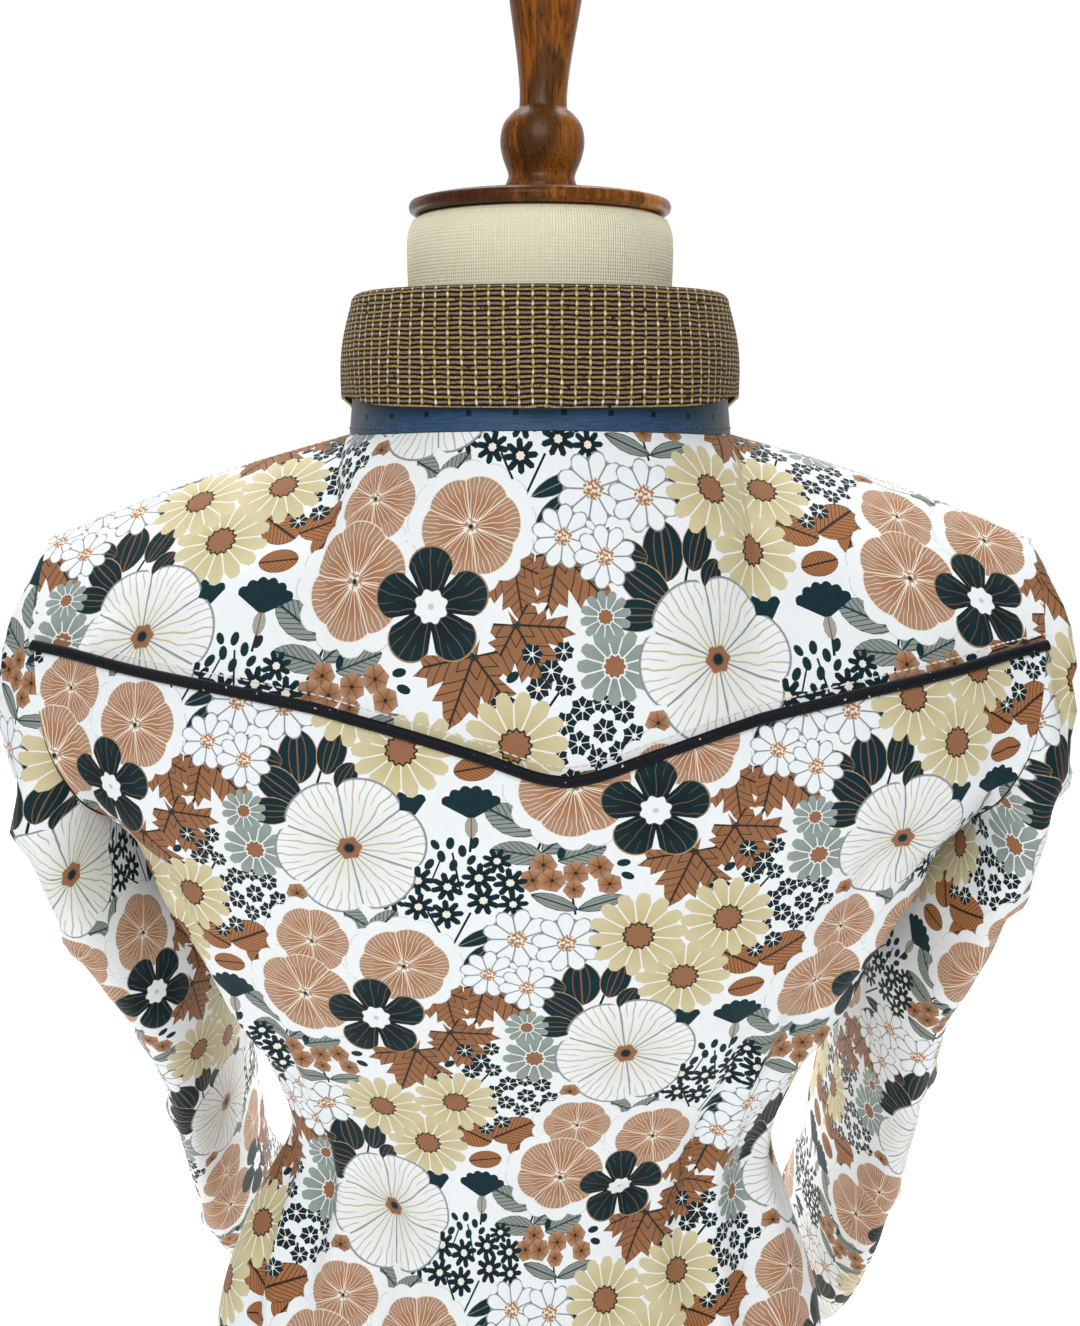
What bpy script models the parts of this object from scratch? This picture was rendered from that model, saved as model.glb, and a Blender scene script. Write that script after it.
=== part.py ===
"""A western snap shirt worn by a limbless dress form on a turned stand.

Metres, +Z up, floor at z = 0. The wearer faces +Y, so the back of the shirt faces -Y and the wearer's
right side is at +X. The cloth is a thin wall on smooth rings round the trunk, which carry on above the
chest as columns that run up to the shoulder seams and the neck seam.
"""

import math
from bisect import bisect_right
from collections import namedtuple

import bmesh
import bpy
from mathutils import Matrix, Vector

# Driving sizes of the cloth.
WALL = 0.0014
SEAM_GAP = 0.0004
LAP_LIFT = 0.0022

# Heights that the pieces meet at.
HEM_Z = 0.212
HEM_RISE = 0.030
CHEST_Z = 0.665
NECK_BACK_Z = 0.823
NECK_SIDE_Z = 0.8195
NECK_FRONT_Z = 0.765

# Half widths and depths of the neck seam, and of the collar's fold above it.
NECK_HALF_WIDTH = 0.0755
NECK_BACK = 0.0700
NECK_FRONT = 0.0720
FOLD_HALF_WIDTH = 0.0700
FOLD_BACK = 0.0655
FOLD_FRONT = 0.0650
FOLD_Z = 0.8705
FOLD_FRONT_Z = 0.7990

# The shoulder seam runs from the side of the neck to this point, with a slight arch.
SHOULDER_TIP = Vector((0.193, -0.010, 0.780))
SHOULDER_ARCH = 0.0025
NECK_SHARE = 0.42
NECK_CLIMB = math.radians(62)

# Counts of the facets.
NECK_COLUMNS = 4
SHOULDER_COLUMNS = 6
LOW_ROWS = 12
BODY_ROWS = 3
YOKE_ROWS = 5
FRONT_ROWS = 8
CAP_ROWS = 4
SLEEVE_ROWS = 14
CORD_SIDES = 8

# The placket, the piping and the snaps.
PLACKET_HALF_WIDTH = 0.015
PIPING_WIDTH = 0.0042
PIPING_HEIGHT = 0.0026
SNAP_RADIUS = 0.0056
SNAP_HEIGHT = 0.0026
SNAP_SIDES = 10
SNAP_PROFILE = ((0, 0), (0.94, 0), (1, 0.35), (0.86, 0.72), (0.45, 1), (0, 1))
SNAP_COUNT = 7
SNAP_TOP_RISE = 1.78
SNAP_LOW_RISE = 0.16
CUFF_OVERLAP = 0.06
CUFF_SNAP_DROPS = (0.28, 0.72)
COLLAR_SNAP_HEIGHT = 0.45
COLLAR_OVERLAP = 0.045
COLLAR_EASE = 1.65
STAND_FOOT_LIFT = 0.0022

# The stand.
BASE_RADIUS = 0.140
BASE_HEIGHT = 0.026
POST_RADIUS = 0.0135
FORM_BOTTOM_Z = 0.180
FINIAL_FOOT_Z = 0.9122
FINIAL_LEAN = math.radians(1.3)
TURNED_SIDES = 24
BASE_SIDES = 36
GAP = 0.0003

# The front's columns start just in front of the side seam, so that they follow the front armhole.
FRONT_SIDE = 1.0001


def table(columns, *rows):
    """Rows with named columns. The first column is what read() looks a value up by, and it rises."""
    row_type = namedtuple("Row", columns)
    return [row_type(*row) for row in rows]


# The trunk: x and y of each ring's middle, its half width, and its depths behind and before the middle.
TRUNK = table(
    "z mid_x mid_y wide back front square",
    (0.200, -0.004, -0.002, 0.166, 0.106, 0.114, 2.1),
    (0.280, -0.005, -0.006, 0.160, 0.103, 0.117, 2.1),
    (0.340, -0.006, -0.014, 0.150, 0.091, 0.123, 2.0),
    (0.420, -0.009, -0.024, 0.134, 0.066, 0.132, 2.0),
    (0.458, -0.009, -0.026, 0.128, 0.050, 0.130, 2.0),
    (0.490, -0.008, -0.018, 0.117, 0.048, 0.117, 2.0),
    (0.517, -0.004, 0.000, 0.1060, 0.063, 0.098, 2.1),
    (0.550, -0.002, 0.000, 0.1130, 0.070, 0.102, 2.2),
    (0.585, -0.001, 0.000, 0.1290, 0.083, 0.112, 2.3),
    (0.637, -0.001, 0.000, 0.1530, 0.096, 0.123, 2.5),
    (0.665, 0.000, 0.000, 0.1660, 0.099, 0.118, 2.6),
)

# The armhole: from the underarm (0) up the back to the shoulder tip (1), and down the front (2).
ARMHOLE = table(
    "share x y z",
    (0.00, 0.1660, 0.0000, 0.6650),
    (0.18, 0.1690, -0.0340, 0.6710),
    (0.37, 0.1755, -0.0575, 0.6870),
    (0.55, 0.1850, -0.0610, 0.7130),
    (0.78, 0.1915, -0.0420, 0.7520),
    (1.00, 0.1930, -0.0100, 0.7800),
    (1.25, 0.1860, 0.0290, 0.7570),
    (1.47, 0.1780, 0.0530, 0.7250),
    (1.67, 0.1720, 0.0500, 0.6910),
    (1.85, 0.1680, 0.0280, 0.6710),
    (2.00, 0.1660, 0.0000, 0.6650),
)

# The pointed edge of the yoke: its height at each distance from its point, which sits off centre.
YOKE_EDGE = table(
    "x z",
    (0.000, 0.7045),
    (0.010, 0.7062),
    (0.030, 0.7132),
    (0.060, 0.7222),
    (0.100, 0.7304),
    (0.134, 0.7356),
    (0.200, 0.7435),
)
YOKE_POINT_X = 0.009
YOKE_HALF_WIDTH = 0.190

# The sleeves: middle of each ring, its half thickness side to side and its half depth fore and aft.
# The turn rolls a ring about the sleeve, so that it lies along the hip.
SLEEVE_LEFT = table(
    "step x y z side depth turn",
    (0, 0.1726, 0.012, 0.632, 0.0181, 0.063, 0),
    (1, 0.1618, 0.028, 0.600, 0.0203, 0.060, 2),
    (2, 0.1575, 0.044, 0.560, 0.0185, 0.053, 3),
    (3, 0.1570, 0.057, 0.520, 0.0150, 0.047, 3),
    (4, 0.1568, 0.074, 0.476, 0.0143, 0.042, 3),
    (5, 0.1565, 0.098, 0.432, 0.0152, 0.036, 3),
    (6, 0.1540, 0.134, 0.394, 0.0172, 0.034, 3),
    (7, 0.1490, 0.172, 0.360, 0.0200, 0.034, 2),
    (8, 0.1430, 0.210, 0.328, 0.0225, 0.033, 0),
)
SLEEVE_RIGHT = table(
    "step x y z side depth turn",
    (0, 0.1703, 0.014, 0.632, 0.0178, 0.063, 0),
    (1, 0.1628, 0.030, 0.600, 0.0200, 0.060, 2),
    (2, 0.1595, 0.042, 0.560, 0.0190, 0.054, 5),
    (3, 0.1572, 0.052, 0.520, 0.0168, 0.050, 6),
    (4, 0.1545, 0.064, 0.478, 0.0165, 0.047, 7),
    (5, 0.1515, 0.082, 0.436, 0.0160, 0.044, 7),
    (6, 0.1495, 0.108, 0.396, 0.0168, 0.042, 6),
    (7, 0.1465, 0.140, 0.360, 0.0185, 0.040, 5),
    (8, 0.1425, 0.172, 0.328, 0.0212, 0.037, 3),
    (9, 0.1375, 0.204, 0.298, 0.0235, 0.035, 0),
)
CUFF_DROP = 0.062
CUFF_TAPER = 0.94

# The free edge of the collar leaf, from the centre back (0) round to its point.
LEAF_EDGE = table(
    "share x y z",
    (0.00, 0.0000, -0.0775, 0.8310),
    (0.25, 0.0550, -0.0560, 0.8315),
    (0.50, 0.0785, -0.0020, 0.8340),
    (0.68, 0.0775, 0.0440, 0.8230),
    (0.82, 0.0690, 0.0810, 0.7850),
    (0.925, 0.0530, 0.1050, 0.7430),
)

# The linen form inside the shirt.
FORM = table(
    "z mid_x mid_y wide back front square",
    (0.180, -0.004, -0.002, 0.150, 0.092, 0.100, 2.1),
    (0.280, -0.005, -0.006, 0.148, 0.093, 0.107, 2.1),
    (0.340, -0.006, -0.012, 0.140, 0.083, 0.111, 2.0),
    (0.420, -0.007, -0.020, 0.121, 0.059, 0.117, 2.0),
    (0.458, -0.006, -0.019, 0.111, 0.046, 0.112, 2.0),
    (0.490, -0.004, -0.010, 0.101, 0.045, 0.098, 2.0),
    (0.517, -0.0025, 0.000, 0.0965, 0.054, 0.088, 2.1),
    (0.550, -0.002, 0.000, 0.108, 0.060, 0.092, 2.15),
    (0.585, -0.001, 0.000, 0.122, 0.072, 0.102, 2.2),
    (0.637, -0.001, 0.000, 0.139, 0.086, 0.112, 2.2),
    (0.665, 0.000, 0.000, 0.146, 0.089, 0.107, 2.2),
    (0.700, 0.000, 0.000, 0.156, 0.088, 0.092, 2.1),
    (0.735, 0.000, -0.002, 0.158, 0.082, 0.072, 1.9),
    (0.760, 0.000, -0.004, 0.148, 0.074, 0.058, 1.8),
    (0.778, 0.000, -0.006, 0.122, 0.064, 0.052, 1.8),
    (0.792, 0.000, -0.006, 0.092, 0.057, 0.050, 1.85),
    (0.808, 0.000, -0.003, 0.064, 0.053, 0.051, 1.95),
    (0.830, 0.000, 0.000, 0.0535, 0.052, 0.052, 2.0),
    (0.870, 0.000, 0.000, 0.0515, 0.0515, 0.0515, 2.0),
    (0.893, 0.000, 0.000, 0.0515, 0.0515, 0.0515, 2.0),
    (0.9000, 0.000, 0.000, 0.0495, 0.0495, 0.0495, 2.0),
    (0.9022, 0.000, 0.000, 0.0460, 0.0460, 0.0460, 2.0),
)
FORM_HEIGHTS = (
    0.180, 0.240, 0.300, 0.360, 0.415, 0.458, 0.490, 0.517, 0.550, 0.590, 0.630, 0.665,
    0.700, 0.735, 0.760, 0.778, 0.792, 0.808, 0.830, 0.893, 0.9000, 0.9022,
)
FORM_SIDES = 28
FORM_SEAM_Z = 0.808

# Turned profiles, as radius and height above each piece's foot.
CAP_PROFILE = table(
    "radius z",
    (0.0000, 0.0000),
    (0.0480, 0.0000),
    (0.0502, 0.0012),
    (0.0506, 0.0032),
    (0.0495, 0.0050),
    (0.0400, 0.0068),
    (0.0200, 0.0090),
    (0.0000, 0.0094),
)
FINIAL_PROFILE = table(
    "radius z",
    (0.0000, 0.0000),
    (0.0140, 0.0000),
    (0.0128, 0.0050),
    (0.0152, 0.0118),
    (0.0162, 0.0178),
    (0.0150, 0.0238),
    (0.0115, 0.0281),
    (0.0092, 0.0301),
    (0.0098, 0.0433),
    (0.0135, 0.0673),
    (0.0158, 0.0823),
    (0.0140, 0.0863),
    (0.0150, 0.0893),
    (0.0150, 0.0943),
    (0.0110, 0.0998),
    (0.0000, 0.1018),
)
BASE_PROFILE = table(
    "radius z",
    (0.0000, 0.0000),
    (0.1370, 0.0000),
    (0.1400, 0.0030),
    (0.1400, 0.0090),
    (0.1340, 0.0140),
    (0.1100, 0.0170),
    (0.0450, 0.0200),
    (0.0300, 0.0260),
    (0.0000, 0.0260),
)


def hermite(start, end, start_slope, end_slope, share):
    """The cubic from start to end with these slopes at its ends."""
    square = share * share
    cube = square * share
    return (
        start * (2 * cube - 3 * square + 1)
        + start_slope * (cube - 2 * square + share)
        + end * (3 * square - 2 * cube)
        + end_slope * (cube - square)
    )


def ease(low, high, value):
    """0 below low, 1 above high, and a smooth step between."""
    share = min(max((value - low) / (high - low), 0.0), 1.0)
    return share * share * (3 - 2 * share)


def read(rows, column, key):
    """A column of a table on a smooth curve through its rows, at this value of the first column."""
    keys = [row[0] for row in rows]
    values = [getattr(row, column) for row in rows]
    key = min(max(key, keys[0]), keys[-1])
    low = max(min(bisect_right(keys, key), len(keys) - 1) - 1, 0)

    def slope(place):
        before = max(place - 1, 0)
        after = min(place + 1, len(keys) - 1)
        return (values[after] - values[before]) / (keys[after] - keys[before])

    span = keys[low + 1] - keys[low]
    share = (key - keys[low]) / span
    return hermite(values[low], values[low + 1], slope(low) * span, slope(low + 1) * span, share)


def read_point(rows, key):
    """The x, y and z columns of a table as one point."""
    return Vector(tuple(read(rows, column, key) for column in "xyz"))


def ring_point(rows, quarter, z):
    """A point of a trunk ring. quarter counts quarter turns from the centre back, + towards +X."""
    angle = quarter * math.pi / 2
    across = math.sin(angle)
    along = -math.cos(angle)
    depth = read(rows, "back" if along < 0 else "front", z)
    power = read(rows, "square", z)
    reach = (abs(across) / read(rows, "wide", z)) ** power + (abs(along) / depth) ** power
    radius = reach ** (-1 / power)
    middle = Vector((read(rows, "mid_x", z), read(rows, "mid_y", z), z))
    return middle + Vector((across, along, 0)) * radius


def neck_point(half_turn):
    """A point of the neck seam. half_turn runs from 0 at the centre back to 1 at the centre front."""
    angle = half_turn * math.pi
    across = math.sin(angle)
    along = -math.cos(angle)
    depth = NECK_BACK if along < 0 else NECK_FRONT
    far_z = NECK_BACK_Z if along < 0 else NECK_FRONT_Z
    z = NECK_SIDE_Z + (far_z - NECK_SIDE_Z) * along * along
    return Vector((NECK_HALF_WIDTH * across, depth * along, z))


def fold_point(half_turn):
    """A point of the collar's fold, above the neck seam."""
    angle = half_turn * math.pi
    across = math.sin(angle)
    along = -math.cos(angle)
    depth = FOLD_BACK if along < 0 else FOLD_FRONT
    drop = (FOLD_Z - FOLD_FRONT_Z) * max(along, 0) ** 1.7
    return Vector((FOLD_HALF_WIDTH * across, depth * along, FOLD_Z - drop))


def shoulder_point(share):
    """A point of the shoulder seam, from the neck (0) to the tip (1)."""
    start = neck_point(0.5)
    arch = Vector((0, 0, SHOULDER_ARCH * math.sin(math.pi * share)))
    return start.lerp(SHOULDER_TIP, share) + arch


def column_top(share, front):
    """Where the column ends on the neck or shoulder seam, and its direction there."""
    if share >= NECK_SHARE:
        top = shoulder_point((share - NECK_SHARE) / (1 - NECK_SHARE))
    else:
        half_turn = 0.5 * share / NECK_SHARE
        top = neck_point(1 - half_turn if front else half_turn)
    climb = NECK_CLIMB * (1 - ease(0.1 * NECK_SHARE, NECK_SHARE, share))
    over = -math.cos(climb) if front else math.cos(climb)
    return top, Vector((0, over, math.sin(climb)))


def shirt_point(quarter, rise):
    """A point of the shirt's outer face.

    quarter counts quarter turns from the centre back (0) to the side seam (1) and the centre front (2).
    rise is 0 at the hem, 1 at the chest and 2 at the shoulder or neck seam.
    """
    if rise <= 1:
        side_share = abs(math.sin(quarter * math.pi / 2))
        hem = HEM_Z + HEM_RISE * side_share ** 3
        return ring_point(TRUNK, quarter, hem + (CHEST_Z - hem) * rise)
    around = abs(quarter)
    front = around > 1
    share = 2 - around if front else around
    foot = ring_point(TRUNK, around, CHEST_Z)
    foot_slope = (foot - ring_point(TRUNK, around, CHEST_Z - 0.01)).normalized()
    top, top_slope = column_top(share, front)
    reach = (top - foot).length
    climb = rise - 1
    place = hermite(foot, top, foot_slope * reach, top_slope * reach * 0.9, climb)
    side_foot = ring_point(TRUNK, 1, CHEST_Z)
    side_slope = (side_foot - ring_point(TRUNK, 1, CHEST_Z - 0.01)).normalized()
    side_top, side_top_slope = column_top(1, front)
    side_reach = (side_top - side_foot).length
    plain = hermite(
        side_foot, side_top, side_slope * side_reach, side_top_slope * side_reach * 0.9, climb
    )
    edge = read_point(ARMHOLE, 2 - climb if front else climb)
    place = place + (edge - plain) * share ** 3
    if quarter < 0:
        place.x = -place.x
    return place


def shirt_normal(quarter, rise):
    """The outward direction of the shirt's face."""
    small = 0.004
    wide = 0.03
    near, far = quarter - wide, quarter + wide
    around = abs(quarter)
    if rise > 1 and abs(around - 1) < wide:
        stays_low = (around > 1) == (quarter > 0)
        near, far = (quarter, far) if stays_low else (near, quarter)
    low = max(rise - small, 1 if rise > 1 else 0)
    high = min(rise + small, 2)
    across = shirt_point(far, rise) - shirt_point(near, rise)
    up = shirt_point(quarter, high) - shirt_point(quarter, low)
    return across.cross(up).normalized()


def yoke_distance(x):
    """How far across from the yoke's point this lies. The two armholes stay even."""
    return abs(x - YOKE_POINT_X * max(1 - (x / YOKE_HALF_WIDTH) ** 2, 0))


def yoke_rise(quarter):
    """The rise at which the yoke's pointed edge crosses this column."""
    low, high = 1.0, 2.0
    for _ in range(40):
        middle = (low + high) / 2
        place = shirt_point(quarter, middle)
        if place.z < read(YOKE_EDGE, "z", yoke_distance(place.x)):
            low = middle
        else:
            high = middle
    return (low + high) / 2


def spread(low, high, count):
    """count + 1 even steps from low to high."""
    return [low + (high - low) * step / count for step in range(count + 1)]


def half_columns():
    """Shares from the centre line (0) to the side seam (1), with one on the neck's side point."""
    neck = spread(0, NECK_SHARE, NECK_COLUMNS)
    return neck + spread(NECK_SHARE, 1, SHOULDER_COLUMNS)[1:]


def make_material(name, colour, roughness, metallic=0.0):
    """A plain Principled material, shared by the pieces of one cloth or wood."""
    material = bpy.data.materials.get(name)
    if material is None:
        material = bpy.data.materials.new(name)
        material.use_nodes = True
        shader = material.node_tree.nodes["Principled BSDF"]
        shader.inputs["Base Color"].default_value = (*colour, 1)
        shader.inputs["Roughness"].default_value = roughness
        shader.inputs["Metallic"].default_value = metallic
    return material


def printed_cotton():
    return make_material("printed_cotton", (0.62, 0.55, 0.48), 0.60)


def navy_silk():
    return make_material("navy_silk", (0.030, 0.070, 0.140), 0.42)


def navy_cord():
    return make_material("navy_cord", (0.012, 0.018, 0.035), 0.55)


def brown_tweed():
    return make_material("brown_tweed", (0.180, 0.125, 0.075), 0.90)


def linen():
    return make_material("linen", (0.80, 0.74, 0.60), 0.85)


def stained_wood():
    return make_material("stained_wood", (0.200, 0.075, 0.022), 0.35)


def pearl():
    return make_material("pearl_snap", (0.80, 0.78, 0.72), 0.25)


def new_object(name, mesh_faces, material, smooth_angle=40):
    """An object made from (points, faces), with its faces turned outward."""
    points, faces = mesh_faces
    form = bmesh.new()
    verts = [form.verts.new(point) for point in points]
    for face in faces:
        form.faces.new([verts[index] for index in face])
    bmesh.ops.recalc_face_normals(form, faces=form.faces)
    mesh = bpy.data.meshes.new(name)
    form.to_mesh(mesh)
    form.free()
    mesh.shade_smooth()
    mesh.set_sharp_from_angle(angle=math.radians(smooth_angle))
    mesh.materials.append(material())
    thing = bpy.data.objects.new(name, mesh)
    bpy.context.scene.collection.objects.link(thing)
    thing.parent = bpy.data.objects["shirt_and_form"]
    return thing


def wall(outer, inner, wraps=False):
    """(points, faces) of a wall between two grids of points. wraps joins the first and last columns."""
    height = len(outer)
    width = len(outer[0])
    points = [point for row in outer for point in row] + [point for row in inner for point in row]
    back = height * width

    def index(row, column):
        return row * width + column % width

    faces = []
    for row in range(height - 1):
        for column in range(width if wraps else width - 1):
            corners = [
                index(row, column),
                index(row, column + 1),
                index(row + 1, column + 1),
                index(row + 1, column),
            ]
            faces.append(corners)
            faces.append([back + corner for corner in reversed(corners)])
    for column in range(width if wraps else width - 1):
        for row, turned in ((0, True), (height - 1, False)):
            a, b = index(row, column), index(row, column + 1)
            rim = [a, b, back + b, back + a]
            faces.append(rim[::-1] if turned else rim)
    if not wraps:
        for row in range(height - 1):
            for column, turned in ((0, False), (width - 1, True)):
                a, b = index(row, column), index(row + 1, column)
                rim = [a, b, back + b, back + a]
                faces.append(rim[::-1] if turned else rim)
    return points, faces


def pull_in(grid, amount):
    """Moves the grid's outer points in along the cloth, which leaves a seam's gap to the next piece."""

    def moved(edge, inner):
        return edge + (inner - edge).normalized() * amount

    rows = [list(row) for row in grid]
    for row in rows:
        row[0] = moved(row[0], row[1])
        row[-1] = moved(row[-1], row[-2])
    first, second = rows[0], rows[1]
    last, before_last = rows[-1], rows[-2]
    rows[0] = [moved(edge, inner) for edge, inner in zip(first, second)]
    rows[-1] = [moved(edge, inner) for edge, inner in zip(last, before_last)]
    return rows


def shirt_panel(name, stations, lift=0.0):
    """A panel of the shirt's cloth through rows of (quarter, rise) stations, lifted off by lift."""
    face = []
    normals = []
    for row in stations:
        normals.append([shirt_normal(quarter, rise) for quarter, rise in row])
        face.append([shirt_point(quarter, rise) for quarter, rise in row])
    face = pull_in(face, SEAM_GAP / 2)
    outer = [
        [point + normal * lift for point, normal in zip(row, directions)]
        for row, directions in zip(face, normals)
    ]
    inner = [
        [point + normal * (lift - WALL) for point, normal in zip(row, directions)]
        for row, directions in zip(face, normals)
    ]
    return new_object(name, wall(outer, inner), printed_cotton)


def back_columns():
    half = half_columns()
    return [-share for share in reversed(half[1:])] + half


def make_back():
    """The back body below the yoke's point, and the yoke above it."""
    columns = back_columns()
    edges = [yoke_rise(column) for column in columns]
    rises = [[rise] * len(columns) for rise in spread(0, 1, LOW_ROWS)[:-1]]
    for share in spread(0, 1, BODY_ROWS):
        rises.append([1 + (edge - 1) * share for edge in edges])
    shirt_panel("back_body", [list(zip(columns, row)) for row in rises])
    rises = [[edge + (2 - edge) * share for edge in edges] for share in spread(0, 1, YOKE_ROWS)]
    shirt_panel("back_yoke", [list(zip(columns, row)) for row in rises])


def placket_quarter(rise, x):
    """The quarter at which the front's column lies this far across from the centre front."""
    reach = (shirt_point(2, rise) - shirt_point(1.9, rise)).xy.length / 0.1
    return 2 - x / reach


def front_rises():
    return spread(0, 1, LOW_ROWS)[:-1] + spread(1, 2, FRONT_ROWS)


def make_fronts():
    """Each front from its side seam to the centre, and the placket over their meeting edges."""
    columns = [FRONT_SIDE] + [2 - share for share in half_columns()][-2::-1]
    for name, side in (("left_front", -1), ("right_front", 1)):
        rows = [[(side * column, rise) for column in columns] for rise in front_rises()]
        shirt_panel(name, rows)
    rows = []
    for rise in front_rises():
        edge = placket_quarter(rise, PLACKET_HALF_WIDTH)
        middle = placket_quarter(rise, PLACKET_HALF_WIDTH / 2)
        rows.append([(edge, rise), (middle, rise), (2, rise), (-middle, rise), (-edge, rise)])
    shirt_panel("front_placket", rows, LAP_LIFT)


def make_piping():
    """The cord in the yoke seam, an oval tube that lies on the seam."""
    columns = back_columns()
    centre = []
    for column in columns:
        rise = yoke_rise(column)
        normal = shirt_normal(column, rise)
        centre.append((shirt_point(column, rise) + normal * (PIPING_HEIGHT / 2 + GAP), normal))
    rings = []
    for place, (point, normal) in enumerate(centre):
        before = centre[max(place - 1, 0)][0]
        after = centre[min(place + 1, len(centre) - 1)][0]
        along = (after - before).normalized()
        across = along.cross(normal).normalized()
        ring = []
        for side in range(CORD_SIDES):
            angle = 2 * math.pi * side / CORD_SIDES
            offset = across * PIPING_WIDTH / 2 * math.cos(angle)
            ring.append(point + offset + normal * PIPING_HEIGHT / 2 * math.sin(angle))
        rings.append(ring)
    new_object("yoke_piping", closed_tube(rings), navy_cord)


def closed_tube(rings):
    """(points, faces) of a solid tube through rings of points, capped at both ends."""
    sides = len(rings[0])
    points = [point for ring in rings for point in ring]
    faces = [list(range(sides))[::-1], [len(points) - sides + side for side in range(sides)]]
    for place in range(len(rings) - 1):
        for side in range(sides):
            after = (side + 1) % sides
            low, high = place * sides, (place + 1) * sides
            faces.append([low + side, low + after, high + after, high + side])
    return points, faces


def sleeve_frame(rows, step):
    """The middle of a sleeve's ring, and its directions along, outward and backward."""
    small = 0.05
    last = rows[-1].step
    middle = read_point(rows, step)
    ahead = read_point(rows, min(step + small, last))
    behind = read_point(rows, max(step - small, 0))
    along = (ahead - behind).normalized()
    outward = Vector((1, 0, 0))
    outward = (outward - along * outward.dot(along)).normalized()
    rearward = along.cross(outward).normalized()
    roll = Matrix.Rotation(-math.radians(read(rows, "turn", step)), 3, along)
    outward = roll @ outward
    rearward = roll @ rearward
    return middle, along, outward, rearward


def sleeve_ring(rows, side, step, angles, shrink=0.0):
    """A ring of the sleeve. Angle 0 is its outermost point, a quarter turn is behind."""
    middle, _along, outward, rearward = sleeve_frame(rows, step)
    half_side = read(rows, "side", step) - shrink
    half_depth = read(rows, "depth", step) - shrink
    ring = []
    for angle in angles:
        point = middle + outward * half_side * math.cos(angle)
        point = point + rearward * half_depth * math.sin(angle)
        ring.append(Vector((side * point.x, point.y, point.z)))
    return ring


def armhole_stations():
    """(quarter, rise) round the armhole: down the back from the shoulder tip, then up the front."""
    edge = yoke_rise(1)
    back = spread(1, edge, BODY_ROWS) + spread(edge, 2, YOKE_ROWS)[1:]
    front = spread(1, 2, FRONT_ROWS)[1:-1]
    return [(1, rise) for rise in reversed(back)] + [(FRONT_SIDE, rise) for rise in front]


def station_angle(station):
    """The angle round the sleeve that an armhole station leads to."""
    quarter, rise = station
    return math.pi * (2 - rise) if quarter == 1 else math.pi * rise


def sleeve_start(station, angle, side, shrink):
    """Where the sleeve's cloth leaves the armhole, and its direction there."""
    quarter, rise = station
    normal = shirt_normal(side * quarter, rise)
    top_share = math.cos(angle / 2) ** 2
    leave = Vector((side * (0.2 + 0.5 * top_share), -0.35 * math.sin(angle), -0.9)).normalized()
    start = shirt_point(side * quarter, rise)
    start = start + leave * SEAM_GAP * top_share + normal * 1.5 * SEAM_GAP * (1 - top_share)
    hollow = Vector((side * -math.cos(angle), math.sin(angle), 0))
    inward = -normal.lerp(-hollow, 1 - ease(0.0, 0.5, top_share))
    return start + inward.normalized() * shrink, leave


def sleeve_rings(rows, side, shrink):
    """Rings of a sleeve's face from its armhole to its cuff. shrink moves them into the sleeve."""
    stations = armhole_stations()
    angles = [station_angle(station) for station in stations]
    first = sleeve_ring(rows, side, 0, angles, shrink)
    _middle, along, _outward, _rearward = sleeve_frame(rows, 0)
    down = Vector((side * along.x, along.y, along.z))
    starts = [sleeve_start(station, angle, side, shrink) for station, angle in zip(stations, angles)]
    rings = []
    for share in spread(0, 1, CAP_ROWS)[:-1]:
        ring = []
        for (start, leave), end in zip(starts, first):
            reach = (end - start).length
            ring.append(hermite(start, end, leave * reach * 0.9, down * reach, share))
        rings.append(ring)
    for step in spread(0, rows[-1].step, SLEEVE_ROWS):
        rings.append(sleeve_ring(rows, side, step, angles, shrink))
    return rings


def make_sleeve(name, rows, side):
    outer = sleeve_rings(rows, side, 0.0)
    inner = sleeve_rings(rows, side, WALL)
    new_object(name, wall(outer, inner, wraps=True), printed_cotton)


def cuff_point(rows, side, share, drop, lift):
    """A point of a cuff. share goes once round it, drop is 0 at its seam and 1 at its free edge."""
    last = rows[-1].step
    middle, along, outward, rearward = sleeve_frame(rows, last)
    taper = 1 - (1 - CUFF_TAPER) * drop
    angle = 2 * math.pi * share + math.pi / 2
    half_side = read(rows, "side", last) * taper + lift
    half_depth = read(rows, "depth", last) * taper + lift
    point = middle + along * (SEAM_GAP + CUFF_DROP * drop)
    point = point + outward * half_side * math.cos(angle) + rearward * half_depth * math.sin(angle)
    return Vector((side * point.x, point.y, point.z))


def lap_lift(share, overlap):
    """How far a band's end stands off where it laps over its other end."""
    return LAP_LIFT * ease(1 - 3 * overlap, 1 - overlap, share)


def make_cuff(name, rows, side):
    """A cuff, a band whose top end laps over its other end and is snapped there."""
    shares = spread(0, 1 + CUFF_OVERLAP, 18)
    drops = (0, 0.5, 1)
    outer = [[cuff_point(rows, side, s, d, lap_lift(s, CUFF_OVERLAP)) for s in shares] for d in drops]
    inner = [
        [cuff_point(rows, side, s, d, lap_lift(s, CUFF_OVERLAP) - WALL) for s in shares] for d in drops
    ]
    new_object(name, wall(outer, inner), printed_cotton)
    for number, drop in enumerate(CUFF_SNAP_DROPS, 1):
        share = 1 + CUFF_OVERLAP / 2
        centre = cuff_point(rows, side, share, drop, LAP_LIFT)
        above = cuff_point(rows, side, share, drop, LAP_LIFT + 0.01)
        make_snap(f"{name}_snap_{number}", centre, (above - centre).normalized())


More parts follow.
